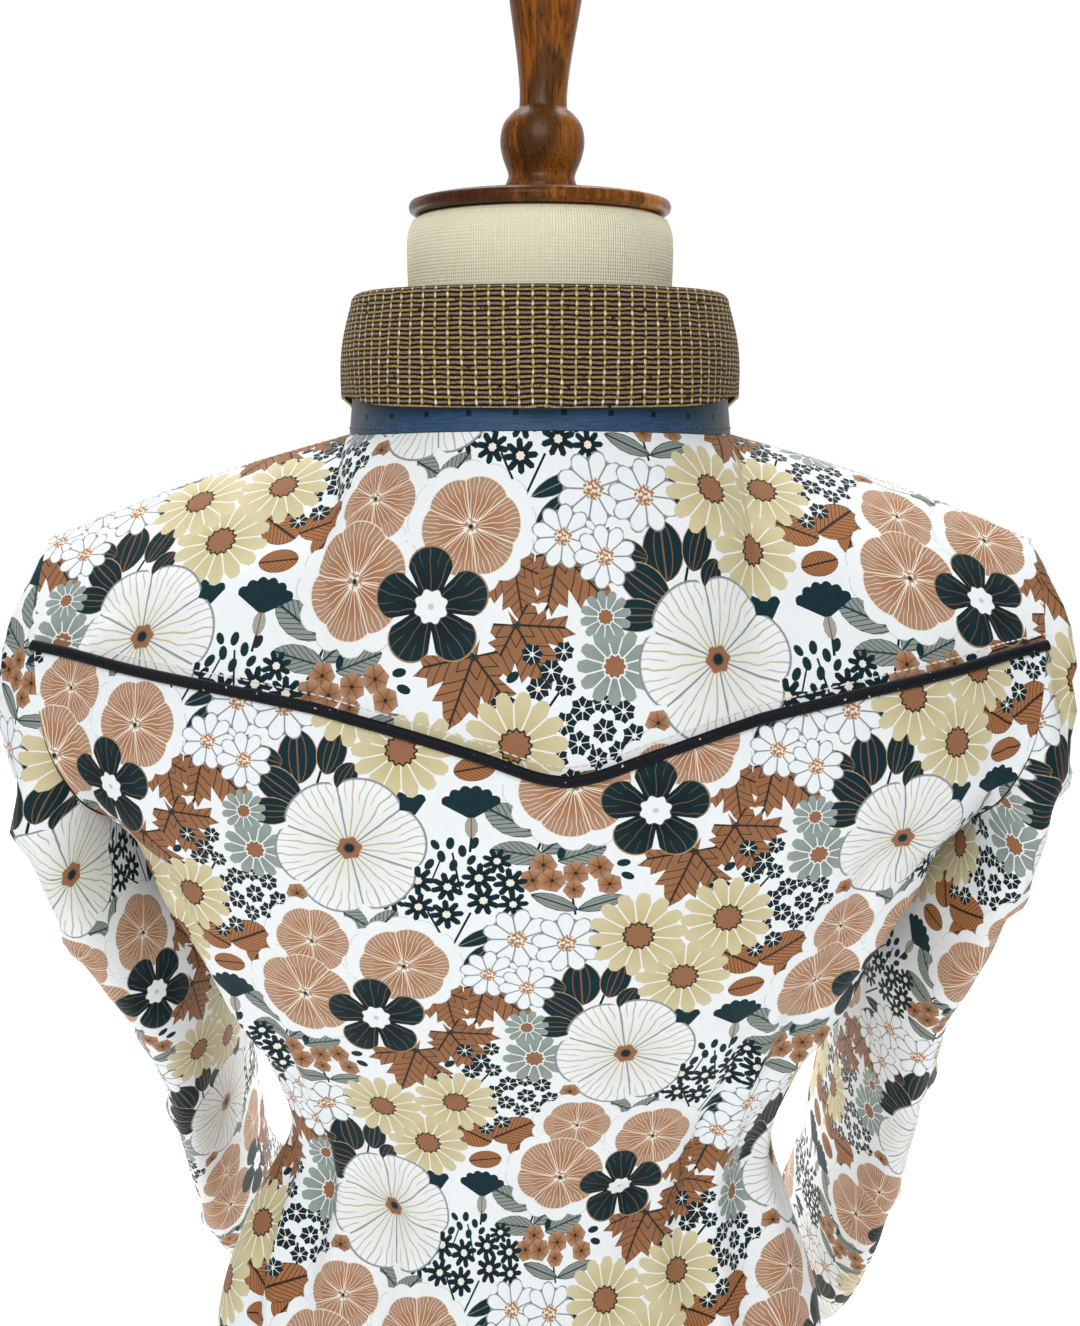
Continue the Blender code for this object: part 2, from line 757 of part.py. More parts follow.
def make_snap(name, centre, outward):
    """A pearl snap: a flat-backed disc with a rolled rim and a low dome."""
    profile = [(SNAP_RADIUS * radius, SNAP_HEIGHT * z) for radius, z in SNAP_PROFILE]
    turn = Vector((0, 0, 1)).rotation_difference(outward).to_matrix().to_4x4()
    snap = new_object(name, turned(profile, SNAP_SIDES), pearl)
    snap.matrix_world = Matrix.Translation(centre + outward * GAP * 2) @ turn


def turned(profile, sides):
    """(points, faces) of a profile of (radius, z) turned round Z. Its two ends are on the axis."""
    points = [Vector((0, 0, profile[0][1])), Vector((0, 0, profile[-1][1]))]
    rings = profile[1:-1]
    for radius, z in rings:
        for side in range(sides):
            angle = 2 * math.pi * side / sides
            points.append(Vector((radius * math.cos(angle), radius * math.sin(angle), z)))
    faces = []
    last = 2 + (len(rings) - 1) * sides
    for side in range(sides):
        after = (side + 1) % sides
        faces.append([0, 2 + after, 2 + side])
        faces.append([1, last + side, last + after])
        for place in range(len(rings) - 1):
            low = 2 + place * sides
            high = low + sides
            faces.append([low + side, low + after, high + after, high + side])
    return points, faces


def stand_point(share, height, lift):
    """A point of the collar stand. share is 0 at the centre back and 1 at the centre front."""
    half_turn = abs(share)
    sign = 1 if share >= 0 else -1
    if half_turn > 1:
        half_turn, sign = 2 - half_turn, -sign
    foot = neck_point(half_turn) + Vector((0, 0, STAND_FOOT_LIFT))
    top = fold_point(half_turn)
    point = foot.lerp(top, height)
    outward = Vector((point.x, point.y, 0)).normalized()
    point = point + outward * lift
    return Vector((sign * point.x, point.y, point.z))


def collar_lift(share):
    """How far the stand's right end stands off over its left end."""
    return LAP_LIFT * ease(1 - COLLAR_EASE * COLLAR_OVERLAP, 1 - COLLAR_OVERLAP, share)


def make_collar_stand():
    """The stand, a band that rises from the neck seam and laps over itself at the front."""
    shares = spread(-1 - COLLAR_OVERLAP, 1 + COLLAR_OVERLAP, 34)
    heights = (0, 0.5, 1)
    outer = [[stand_point(s, h, collar_lift(s)) for s in shares] for h in heights]
    inner = [[stand_point(s, h, collar_lift(s) - WALL) for s in shares] for h in heights]
    new_object("collar_stand", wall(outer, inner), navy_silk)
    centre = stand_point(1, COLLAR_SNAP_HEIGHT, LAP_LIFT)
    across = stand_point(1 - COLLAR_OVERLAP / 2, COLLAR_SNAP_HEIGHT, LAP_LIFT) - centre
    up = stand_point(1, 1, LAP_LIFT) - centre
    make_snap("snap_collar", centre, up.cross(across).normalized())


# The leaf rolls over the stand's top edge on an arc about the middle of that edge, then falls outside.
LEAF_WALL = 0.0014
LEAF_END = 0.925
ROLL_RADIUS = 0.0044
ROLL_SINK = 0.0016
ROLL_START = math.radians(165)
ROLL_STEPS = 4
FALL_STEPS = 3
LEAF_BOW = 0.0022


def leaf_point(share, down, depth):
    """A point of the collar leaf. down runs from -1 to 0 round the roll, and from 0 to 1 down the fall."""
    fold = fold_point(abs(share))
    outward = Vector((fold.x, fold.y, 0)).normalized()
    centre = fold - outward * WALL / 2 - Vector((0, 0, ROLL_SINK))
    if down < 0:
        angle = -down * ROLL_START
        arm = outward * math.cos(angle) + Vector((0, 0, math.sin(angle)))
        point = centre + arm * (ROLL_RADIUS - depth)
    else:
        start = centre + outward * ROLL_RADIUS
        edge = read_point(LEAF_EDGE, abs(share))
        point = start.lerp(edge, down) + outward * (LEAF_BOW * math.sin(math.pi * down) - depth)
    if share < 0:
        point.x = -point.x
    return point


def make_collar_fall():
    """The leaf of the collar, rolled over the stand's top edge and folded down outside it."""
    shares = spread(-LEAF_END, LEAF_END, 30)
    downs = spread(-1, 0, ROLL_STEPS)[:-1] + spread(0, 1, FALL_STEPS)
    outer = [[leaf_point(s, d, 0) for s in shares] for d in downs]
    inner = [[leaf_point(s, d, LEAF_WALL) for s in shares] for d in downs]
    new_object("collar_fall", wall(outer, inner), brown_tweed)


def placket_facet(rise):
    """A point of the placket's middle line, on its flat facets."""
    rises = front_rises()
    place = bisect_right(rises, rise)
    low, high = rises[place - 1], rises[place]
    ends = [shirt_point(2, end) + shirt_normal(2, end) * LAP_LIFT for end in (low, high)]
    return ends[0].lerp(ends[1], (rise - low) / (high - low))


def make_front_snaps():
    """The snaps down the placket. At the waist each bridges the hollow between two facets."""
    reach = SNAP_RADIUS / (CHEST_Z - HEM_Z)
    for number, rise in enumerate(spread(SNAP_TOP_RISE, SNAP_LOW_RISE, SNAP_COUNT - 1), 1):
        centre = placket_facet(rise)
        below, above = placket_facet(rise - reach), placket_facet(rise + reach)
        normal = (above - below).cross(Vector((1, 0, 0))).normalized()
        hollow = max((below - centre).dot(normal), 0)
        make_snap(f"snap_{number}", centre + normal * hollow, normal)


def make_form():
    """The linen torso and the neck that stands on it, on smooth rings."""
    low = [z for z in FORM_HEIGHTS if z <= FORM_SEAM_Z]
    high = [FORM_SEAM_Z + GAP] + [z for z in FORM_HEIGHTS if z > FORM_SEAM_Z]
    for name, heights in (("form_torso", low), ("form_neck", high)):
        rings = []
        for z in heights:
            rings.append([ring_point(FORM, 4 * side / FORM_SIDES, z) for side in range(FORM_SIDES)])
        new_object(name, closed_tube(rings), linen)


def make_stand():
    """The wooden cap, finial, post and base."""
    cap = new_object("neck_cap", turned([tuple(row) for row in CAP_PROFILE], TURNED_SIDES), stained_wood)
    cap.location = (0, 0, FORM_HEIGHTS[-1] + GAP)
    profile = [tuple(row) for row in FINIAL_PROFILE]
    finial = new_object("finial", turned(profile, TURNED_SIDES), stained_wood)
    finial.location = (0.0005, 0, FINIAL_FOOT_Z)
    finial.rotation_euler = (0, FINIAL_LEAN, 0)
    profile = (
        (0, BASE_HEIGHT + GAP),
        (POST_RADIUS, BASE_HEIGHT + GAP),
        (POST_RADIUS, FORM_BOTTOM_Z - GAP),
        (0, FORM_BOTTOM_Z - GAP),
    )
    new_object("post", turned(profile, TURNED_SIDES), stained_wood)
    profile = [tuple(row) for row in BASE_PROFILE]
    new_object("base", turned(profile, BASE_SIDES), stained_wood)


def clear_scene():
    for thing in list(bpy.data.objects):
        bpy.data.objects.remove(thing, do_unlink=True)


def main():
    clear_scene()
    group = bpy.data.objects.new("shirt_and_form", None)
    bpy.context.scene.collection.objects.link(group)
    make_back()
    make_fronts()
    make_piping()
    make_front_snaps()
    make_sleeve("sleeve_left", SLEEVE_LEFT, -1)
    make_sleeve("sleeve_right", SLEEVE_RIGHT, 1)
    make_cuff("cuff_left", SLEEVE_LEFT, -1)
    make_cuff("cuff_right", SLEEVE_RIGHT, 1)
    make_collar_stand()
    make_collar_fall()
    make_form()
    make_stand()


main()
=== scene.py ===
"""The finish of a western snap shirt worn by a limbless dress form on a turned stand.

Metres, +Z up, floor at z = 0. The wearer faces +Y, so the back of the shirt faces -Y. Every piece of
cloth is a thin shell on the form of its solid, cut along the figures of its print.
"""

import math
from collections import namedtuple

import bmesh
import bpy
import numpy as np
from mathutils import Euler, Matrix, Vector, kdtree
from mathutils.geometry import delaunay_2d_cdt


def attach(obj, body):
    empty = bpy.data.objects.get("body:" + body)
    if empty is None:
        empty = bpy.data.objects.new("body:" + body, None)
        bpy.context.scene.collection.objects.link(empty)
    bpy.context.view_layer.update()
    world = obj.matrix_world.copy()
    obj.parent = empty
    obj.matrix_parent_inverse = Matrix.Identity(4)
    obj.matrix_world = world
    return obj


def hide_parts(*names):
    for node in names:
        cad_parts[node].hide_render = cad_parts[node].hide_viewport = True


bl_info = {
    "name": "Western snap shirt on a dress form",
    "version": (1, 0, 0),
    "blender": (4, 5, 0),
    "location": "3D View > Sidebar > Shirt",
    "description": "Cloth, print, stitching, wood and linen of a snap shirt on its dress form",
    "category": "Object",
}

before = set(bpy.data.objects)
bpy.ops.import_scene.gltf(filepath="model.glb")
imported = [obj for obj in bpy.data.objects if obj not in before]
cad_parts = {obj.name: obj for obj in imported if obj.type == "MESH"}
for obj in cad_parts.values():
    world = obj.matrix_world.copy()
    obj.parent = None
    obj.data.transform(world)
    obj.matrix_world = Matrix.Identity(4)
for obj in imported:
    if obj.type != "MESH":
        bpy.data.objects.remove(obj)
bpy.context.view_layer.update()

WALL = 0.0014
LAP_LIFT = 0.0022
SEAM_GAP = 0.0004

HEM_Z = 0.212
HEM_RISE = 0.030
CHEST_Z = 0.665
NECK_BACK_Z = 0.823
NECK_SIDE_Z = 0.8195
NECK_FRONT_Z = 0.765
NECK_HALF_WIDTH = 0.0755
NECK_BACK = 0.0700
NECK_FRONT = 0.0720
FOLD_HALF_WIDTH = 0.0700
FOLD_BACK = 0.0655
FOLD_FRONT = 0.0650
FOLD_Z = 0.8705
FOLD_FRONT_Z = 0.7990
SHOULDER_TIP = np.array((0.193, -0.010, 0.780))
SHOULDER_ARCH = 0.0025
NECK_SHARE = 0.42
NECK_CLIMB = math.radians(62)
FRONT_SIDE = 1.0001

PLACKET_HALF_WIDTH = 0.015
PIPING_WIDTH = 0.0042
PIPING_HEIGHT = 0.0026
SNAP_RADIUS = 0.0056
SNAP_HEIGHT = 0.0026
SNAP_COUNT = 7
SNAP_TOP_RISE = 1.78
SNAP_LOW_RISE = 0.16
CUFF_OVERLAP = 0.06
CUFF_DROP = 0.062
CUFF_TAPER = 0.94
CUFF_SNAP_DROPS = (0.28, 0.72)
COLLAR_OVERLAP = 0.045
COLLAR_EASE = 1.65
COLLAR_SNAP_HEIGHT = 0.45
STAND_FOOT_LIFT = 0.0022
STAND_SEAM_DROP = 0.0019
FLOOR_SIDE = 5.0

BASE_HEIGHT = 0.026
POST_RADIUS = 0.0135
FORM_BOTTOM_Z = 0.180
FORM_TOP_Z = 0.9022
FORM_NECK_Z = 0.79
FORM_SIDES = 96
NECK_RADIUS = 0.0515
FINIAL_FOOT_Z = 0.9122
FINIAL_LEAN = math.radians(1.3)
GAP = 0.0003

LEAF_WALL = 0.0014
LEAF_END = 0.925
ROLL_RADIUS = 0.0044
ROLL_SINK = 0.0016
ROLL_START = math.radians(165)
LEAF_BOW = 0.0022


def table(columns, *rows):
    """Rows with named columns. The first column is what read() looks a value up by, and it rises."""
    return {name: np.array(values, float) for name, values in zip(columns.split(), zip(*rows))}


# The trunk: x and y of each ring's middle, its half width, and its depths behind and before the middle.
TRUNK = table(
    "z mid_x mid_y wide back front square",
    (0.2, -0.004, -0.002, 0.166, 0.106, 0.114, 2.1),
    (0.28, -0.005, -0.006, 0.16, 0.103, 0.117, 2.1),
    (0.34, -0.006, -0.014, 0.15, 0.091, 0.123, 2),
    (0.42, -0.009, -0.024, 0.134, 0.066, 0.132, 2),
    (0.458, -0.009, -0.026, 0.128, 0.05, 0.13, 2),
    (0.49, -0.008, -0.018, 0.117, 0.048, 0.117, 2), (0.517, -0.004, 0, 0.106, 0.063, 0.098, 2.1),
    (0.55, -0.002, 0, 0.113, 0.07, 0.102, 2.2), (0.585, -0.001, 0, 0.129, 0.083, 0.112, 2.3),
    (0.637, -0.001, 0, 0.153, 0.096, 0.123, 2.5), (0.665, 0, 0, 0.166, 0.099, 0.118, 2.6),
)

# The armhole: from the underarm (0) up the back to the shoulder tip (1), and down the front (2).
ARMHOLE = table(
    "share x y z",
    (0, 0.166, 0, 0.665), (0.18, 0.169, -0.034, 0.671), (0.37, 0.1755, -0.0575, 0.687),
    (0.55, 0.185, -0.061, 0.713), (0.78, 0.1915, -0.042, 0.752), (1, 0.193, -0.01, 0.78),
    (1.25, 0.186, 0.029, 0.757), (1.47, 0.178, 0.053, 0.725), (1.67, 0.172, 0.05, 0.691),
    (1.85, 0.168, 0.028, 0.671), (2, 0.166, 0, 0.665),
)

# The pointed edge of the yoke: its height at each distance from its point, which sits off centre.
YOKE_EDGE = table(
    "x z",
    (0, 0.7045), (0.01, 0.7062), (0.03, 0.7132), (0.06, 0.7222), (0.1, 0.7304), (0.134, 0.7356),
    (0.2, 0.7435),
)
YOKE_POINT_X = 0.009
YOKE_HALF_WIDTH = 0.190

# The sleeves: middle of each ring, its half thickness, its half depth and its roll in degrees.
SLEEVE_LEFT = table(
    "step x y z side depth turn",
    (0, 0.1726, 0.012, 0.632, 0.0181, 0.063, 0), (1, 0.1618, 0.028, 0.6, 0.0203, 0.06, 2),
    (2, 0.1575, 0.044, 0.56, 0.0185, 0.053, 3), (3, 0.157, 0.057, 0.52, 0.015, 0.047, 3),
    (4, 0.1568, 0.074, 0.476, 0.0143, 0.042, 3), (5, 0.1565, 0.098, 0.432, 0.0152, 0.036, 3),
    (6, 0.154, 0.134, 0.394, 0.0172, 0.034, 3), (7, 0.149, 0.172, 0.36, 0.02, 0.034, 2),
    (8, 0.143, 0.21, 0.328, 0.0225, 0.033, 0),
)

SLEEVE_RIGHT = table(
    "step x y z side depth turn",
    (0, 0.1703, 0.014, 0.632, 0.0178, 0.063, 0), (1, 0.1628, 0.03, 0.6, 0.02, 0.06, 2),
    (2, 0.1595, 0.042, 0.56, 0.019, 0.054, 5), (3, 0.1572, 0.052, 0.52, 0.0168, 0.05, 6),
    (4, 0.1545, 0.064, 0.478, 0.0165, 0.047, 7), (5, 0.1515, 0.082, 0.436, 0.016, 0.044, 7),
    (6, 0.1495, 0.108, 0.396, 0.0168, 0.042, 6), (7, 0.1465, 0.14, 0.36, 0.0185, 0.04, 5),
    (8, 0.1425, 0.172, 0.328, 0.0212, 0.037, 3), (9, 0.1375, 0.204, 0.298, 0.0235, 0.035, 0),
)

# The free edge of the collar leaf, from the centre back (0) round to its point.
LEAF_EDGE = table(
    "share x y z",
    (0, 0, -0.0775, 0.831), (0.25, 0.055, -0.056, 0.8315), (0.5, 0.0785, -0.002, 0.834),
    (0.68, 0.0775, 0.044, 0.823), (0.82, 0.069, 0.081, 0.785), (0.925, 0.053, 0.105, 0.743),
)

# The linen form inside the shirt.
FORM = table(
    "z mid_x mid_y wide back front square",
    (0.18, -0.004, -0.002, 0.15, 0.092, 0.1, 2.1),
    (0.28, -0.005, -0.006, 0.148, 0.093, 0.107, 2.1),
    (0.34, -0.006, -0.012, 0.14, 0.083, 0.111, 2), (0.42, -0.007, -0.02, 0.121, 0.059, 0.117, 2),
    (0.458, -0.006, -0.019, 0.111, 0.046, 0.112, 2),
    (0.49, -0.004, -0.01, 0.101, 0.045, 0.098, 2),
    (0.517, -0.0025, 0, 0.0965, 0.054, 0.088, 2.1), (0.55, -0.002, 0, 0.108, 0.06, 0.092, 2.15),
    (0.585, -0.001, 0, 0.122, 0.072, 0.102, 2.2), (0.637, -0.001, 0, 0.139, 0.086, 0.112, 2.2),
    (0.665, 0, 0, 0.146, 0.089, 0.107, 2.2), (0.7, 0, 0, 0.156, 0.088, 0.092, 2.1),
    (0.735, 0, -0.002, 0.158, 0.082, 0.072, 1.9), (0.76, 0, -0.004, 0.148, 0.074, 0.058, 1.8),
    (0.778, 0, -0.006, 0.122, 0.064, 0.052, 1.8), (0.792, 0, -0.006, 0.092, 0.057, 0.05, 1.85),
    (0.808, 0, -0.003, 0.064, 0.053, 0.051, 1.95), (0.83, 0, 0, 0.0535, 0.052, 0.052, 2),
    (0.87, 0, 0, 0.0515, 0.0515, 0.0515, 2), (0.893, 0, 0, 0.0515, 0.0515, 0.0515, 2),
    (0.9, 0, 0, 0.0495, 0.0495, 0.0495, 2), (0.9022, 0, 0, 0.046, 0.046, 0.046, 2),
)

# Turned profiles, as radius and height above each piece's foot.
CAP_PROFILE = table(
    "radius z",
    (0, 0), (0.048, 0), (0.0502, 0.0012), (0.0506, 0.0032), (0.0495, 0.005), (0.04, 0.0068),
    (0.02, 0.009), (0, 0.0094),
)

FINIAL_PROFILE = table(
    "radius z",
    (0, 0), (0.014, 0), (0.0128, 0.005), (0.0152, 0.0118), (0.0162, 0.0178), (0.015, 0.0238),
    (0.0115, 0.0281), (0.0092, 0.0301), (0.0098, 0.0433), (0.0135, 0.0673), (0.0158, 0.0823),
    (0.014, 0.0863), (0.015, 0.0893), (0.015, 0.0943), (0.011, 0.0998), (0, 0.1018),
)

BASE_PROFILE = table(
    "radius z",
    (0, 0), (0.137, 0), (0.14, 0.003), (0.14, 0.009), (0.134, 0.014), (0.11, 0.017),
    (0.045, 0.02), (0.03, 0.026), (0, 0.026),
)


def hermite(start, end, start_slope, end_slope, share):
    """The cubic from start to end with these slopes at its ends."""
    square = share * share
    cube = square * share
    return (
        start * (2 * cube - 3 * square + 1)
        + start_slope * (cube - 2 * square + share)
        + end * (3 * square - 2 * cube)
        + end_slope * (cube - square)
    )


def ease(low, high, value):
    """0 below low, 1 above high, and a smooth step between."""
    share = np.clip((value - low) / (high - low), 0, 1)
    return share * share * (3 - 2 * share)


def unit(rows):
    """Each vector at length 1."""
    return rows / np.maximum(np.linalg.norm(rows, axis=-1, keepdims=True), 1e-12)


def size(rows):
    """Each vector's length, kept as a last axis of one."""
    return np.linalg.norm(rows, axis=-1, keepdims=True)


def read(rows, column, key):
    """A column of a table on a smooth curve through its rows, at these values of the first column."""
    keys = next(iter(rows.values()))
    values = rows[column]
    places = np.arange(len(keys))
    before = np.maximum(places - 1, 0)
    after = np.minimum(places + 1, len(keys) - 1)
    slopes = (values[after] - values[before]) / (keys[after] - keys[before])
    key = np.clip(key, keys[0], keys[-1])
    low = np.clip(np.searchsorted(keys, key, side="right") - 1, 0, len(keys) - 2)
    span = keys[low + 1] - keys[low]
    return hermite(
        values[low], values[low + 1], slopes[low] * span, slopes[low + 1] * span, (key - keys[low]) / span
    )


def read_points(rows, key):
    """The x, y and z columns of a table as points."""
    return np.stack([read(rows, column, key) for column in "xyz"], axis=-1)


def vectors(x, y, z):
    return np.stack(np.broadcast_arrays(x, y, z), axis=-1).astype(float)


def ring_points(rows, quarter, z):
    """Points of trunk rings. quarter counts quarter turns from the centre back, + towards +X."""
    angle = quarter * math.pi / 2
    across = np.sin(angle)
    along = -np.cos(angle)
    depth = np.where(along < 0, read(rows, "back", z), read(rows, "front", z))
    power = read(rows, "square", z)
    reach = (np.abs(across) / read(rows, "wide", z)) ** power + (np.abs(along) / depth) ** power
    radius = reach ** (-1 / power)
    return vectors(
        read(rows, "mid_x", z) + across * radius, read(rows, "mid_y", z) + along * radius, z
    )


def half_ring(half_turn, wide, back, front):
    """Across and along directions of a neck ring, from the centre back (0) to the centre front (1)."""
    angle = half_turn * math.pi
    across = np.sin(angle)
    along = -np.cos(angle)
    return wide * across, np.where(along < 0, back, front) * along, along


def neck_points(half_turn):
    """Points of the neck seam."""
    x, y, along = half_ring(half_turn, NECK_HALF_WIDTH, NECK_BACK, NECK_FRONT)
    far_z = np.where(along < 0, NECK_BACK_Z, NECK_FRONT_Z)
    return vectors(x, y, NECK_SIDE_Z + (far_z - NECK_SIDE_Z) * along * along)


def fold_points(half_turn):
    """Points of the collar's fold, above the neck seam."""
    x, y, along = half_ring(half_turn, FOLD_HALF_WIDTH, FOLD_BACK, FOLD_FRONT)
    return vectors(x, y, FOLD_Z - (FOLD_Z - FOLD_FRONT_Z) * np.maximum(along, 0) ** 1.7)


def shoulder_points(share):
    """Points of the shoulder seam, from the neck (0) to the tip (1)."""
    start = neck_points(np.array(0.5))
    share = np.asarray(share, float)[..., None]
    return start + (SHOULDER_TIP - start) * share + np.array((0, 0, SHOULDER_ARCH)) * np.sin(math.pi * share)


def column_tops(share, front):
    """Where columns end on the neck or shoulder seam, and their directions there."""
    half_turn = 0.5 * share / NECK_SHARE
    neck = neck_points(np.where(front, 1 - half_turn, half_turn))
    seam = shoulder_points((share - NECK_SHARE) / (1 - NECK_SHARE))
    top = np.where((share < NECK_SHARE)[..., None], neck, seam)
    climb = NECK_CLIMB * (1 - ease(0.1 * NECK_SHARE, NECK_SHARE, share))
    over = np.where(front, -np.cos(climb), np.cos(climb))
    return top, vectors(0, over, np.sin(climb))


def column_points(share, around, front, climb):
    """Points of columns that run up from the chest to their tops."""
    foot = ring_points(TRUNK, around, np.full_like(around, CHEST_Z))
    below = ring_points(TRUNK, around, np.full_like(around, CHEST_Z - 0.01))
    top, top_slope = column_tops(share, front)
    reach = size(top - foot)
    return hermite(foot, top, unit(foot - below) * reach, top_slope * reach * 0.9, climb[..., None])


def shirt_points(quarter, rise):
    """Points of the shirt's outer face.

    quarter counts quarter turns from the centre back (0) to the side seam (1) and the centre front (2).
    rise is 0 at the hem, 1 at the chest and 2 at the shoulder or neck seam.
    """
    quarter, rise = (array.astype(float) for array in np.broadcast_arrays(quarter, rise))
    hem = HEM_Z + HEM_RISE * np.abs(np.sin(quarter * math.pi / 2)) ** 3
    low = ring_points(TRUNK, quarter, hem + (CHEST_Z - hem) * np.minimum(rise, 1))
    around = np.abs(quarter)
    front = around > 1
    share = np.clip(np.where(front, 2 - around, around), 0, 1)
    climb = np.clip(rise - 1, 0, 1)
    side = np.ones_like(share)
    plain = column_points(side, side, front, climb)
    edge = read_points(ARMHOLE, np.where(front, 2 - climb, climb))
    high = column_points(share, around, front, climb) + (edge - plain) * share[..., None] ** 3
    high[..., 0] = np.where(quarter < 0, -high[..., 0], high[..., 0])
    return np.where((rise <= 1)[..., None], low, high)


def shirt_normals(quarter, rise):
    """The outward directions of the shirt's face."""
    small = 0.004
    wide = 0.03
    quarter, rise = (array.astype(float) for array in np.broadcast_arrays(quarter, rise))
    around = np.abs(quarter)
    at_side = (rise > 1) & (np.abs(around - 1) < wide)
    stays_low = (around > 1) == (quarter > 0)
    near = np.where(at_side & stays_low, quarter, quarter - wide)
    far = np.where(at_side & ~stays_low, quarter, quarter + wide)
    low = np.maximum(rise - small, np.where(rise > 1, 1, 0))
    high = np.minimum(rise + small, 2)
    across = shirt_points(far, rise) - shirt_points(near, rise)
    up = shirt_points(quarter, high) - shirt_points(quarter, low)
    return unit(np.cross(across, up))


def yoke_distance(x):
    """How far across from the yoke's point this lies. The two armholes stay even."""
    return np.abs(x - YOKE_POINT_X * np.maximum(1 - (x / YOKE_HALF_WIDTH) ** 2, 0))


def yoke_rises(quarter):
    """The rise at which the yoke's pointed edge crosses these columns."""
    low, high = np.ones_like(quarter), np.full_like(quarter, 2.0)
    for _ in range(30):
        middle = (low + high) / 2
        place = shirt_points(quarter, middle)
        under = place[..., 2] < read(YOKE_EDGE, "z", yoke_distance(place[..., 0]))
        low, high = np.where(under, middle, low), np.where(under, high, middle)
    return (low + high) / 2


def sleeve_frames(rows, step):
    """The middle of a sleeve's rings, and their directions along, outward and backward."""
    small = 0.05
    last = rows["step"][-1]
    middle = read_points(rows, step)
    along = unit(
        read_points(rows, np.minimum(step + small, last)) - read_points(rows, np.maximum(step - small, 0))
    )
    outward = np.array((1.0, 0, 0)) - along * along[..., :1]
    outward = unit(outward)
    rearward = unit(np.cross(along, outward))
    turn = np.radians(read(rows, "turn", step))[..., None]
    rolled = outward * np.cos(turn) - np.cross(along, outward) * np.sin(turn)
    back = rearward * np.cos(turn) - np.cross(along, rearward) * np.sin(turn)
    return middle, along, rolled, back


def sleeve_ring(rows, step, angle, shrink=0.0):
    """Points of a sleeve on the +X side. Angle 0 is outermost, a quarter turn is behind."""
    middle, _along, outward, rearward = sleeve_frames(rows, step)
    side = (read(rows, "side", step) - shrink) * np.cos(angle)
    depth = (read(rows, "depth", step) - shrink) * np.sin(angle)
    return middle + outward * side[..., None] + rearward * depth[..., None]


def sleeve_starts(angle):
    """Where a sleeve's cloth leaves the armhole on the +X side, and its direction there."""
    turned = np.mod(angle, 2 * math.pi)
    behind = turned <= math.pi
    quarter = np.where(behind, 1.0, FRONT_SIDE)
    rise = np.where(behind, 2 - turned / math.pi, turned / math.pi)
    normal = shirt_normals(quarter, rise)
    top_share = np.cos(turned / 2) ** 2
    leave = unit(vectors(0.2 + 0.5 * top_share, -0.35 * np.sin(turned), -0.9))
    top = top_share[..., None]
    start = shirt_points(quarter, rise) + leave * SEAM_GAP * top + normal * 1.5 * SEAM_GAP * (1 - top)
    return start, leave


def sleeve_points(rows, angle, place):
    """Points of a sleeve on the +X side. place is 0 at the armhole, 1 at the first ring and on from there."""
    first = sleeve_ring(rows, np.zeros_like(angle), angle)
    down = sleeve_frames(rows, np.array(0.0))[1]
    start, leave = sleeve_starts(angle)
    reach = size(first - start)
    share = np.clip(place, 0, 1)[..., None]
    cap = hermite(start, first, leave * reach * 0.9, down * reach, share)
    arm = sleeve_ring(rows, np.maximum(place - 1, 0), angle)
    return np.where((place < 1)[..., None], cap, arm)


def lap_lift(share, overlap):
    """How far a band's end stands off where it laps over its other end."""
    return LAP_LIFT * ease(1 - 3 * overlap, 1 - overlap, share)


def cuff_points(rows, share, drop, lift=0.0):
    """Points of a cuff on the +X side. share goes once round it, drop is 0 at its seam."""
    last = np.full_like(share, rows["step"][-1])
    middle, along, outward, rearward = sleeve_frames(rows, last)
    taper = 1 - (1 - CUFF_TAPER) * drop
    angle = 2 * math.pi * share + math.pi / 2
    lift = lift + lap_lift(share, CUFF_OVERLAP)
    side = (read(rows, "side", last) * taper + lift) * np.cos(angle)
    depth = (read(rows, "depth", last) * taper + lift) * np.sin(angle)
    point = middle + along * (SEAM_GAP + CUFF_DROP * drop)[..., None]
    return point + outward * side[..., None] + rearward * depth[..., None]


def collar_lift(share):
    """How far the stand's right end stands off over its left end."""
    return LAP_LIFT * ease(1 - COLLAR_EASE * COLLAR_OVERLAP, 1 - COLLAR_OVERLAP, share)


def stand_points(share, height, lift=0.0):
    """Points of the collar stand. share is 0 at the centre back and 1 at the centre front."""
    half_turn = np.abs(share)
    past = half_turn > 1
    sign = np.where(share >= 0, 1, -1) * np.where(past, -1, 1)
    half_turn = np.where(past, 2 - half_turn, half_turn)
    drop = STAND_SEAM_DROP * (1 - ease(0.45, 0.75, half_turn))
    foot = neck_points(half_turn) + np.array((0, 0, STAND_FOOT_LIFT))
    foot = foot - drop[..., None] * np.array((0, 0, 1.0))
    point = foot + (fold_points(half_turn) - foot) * np.asarray(height)[..., None]
    outward = unit(point * np.array((1, 1, 0)))
    point = point + outward * (collar_lift(share) + lift)[..., None]
    point[..., 0] *= sign
    return point


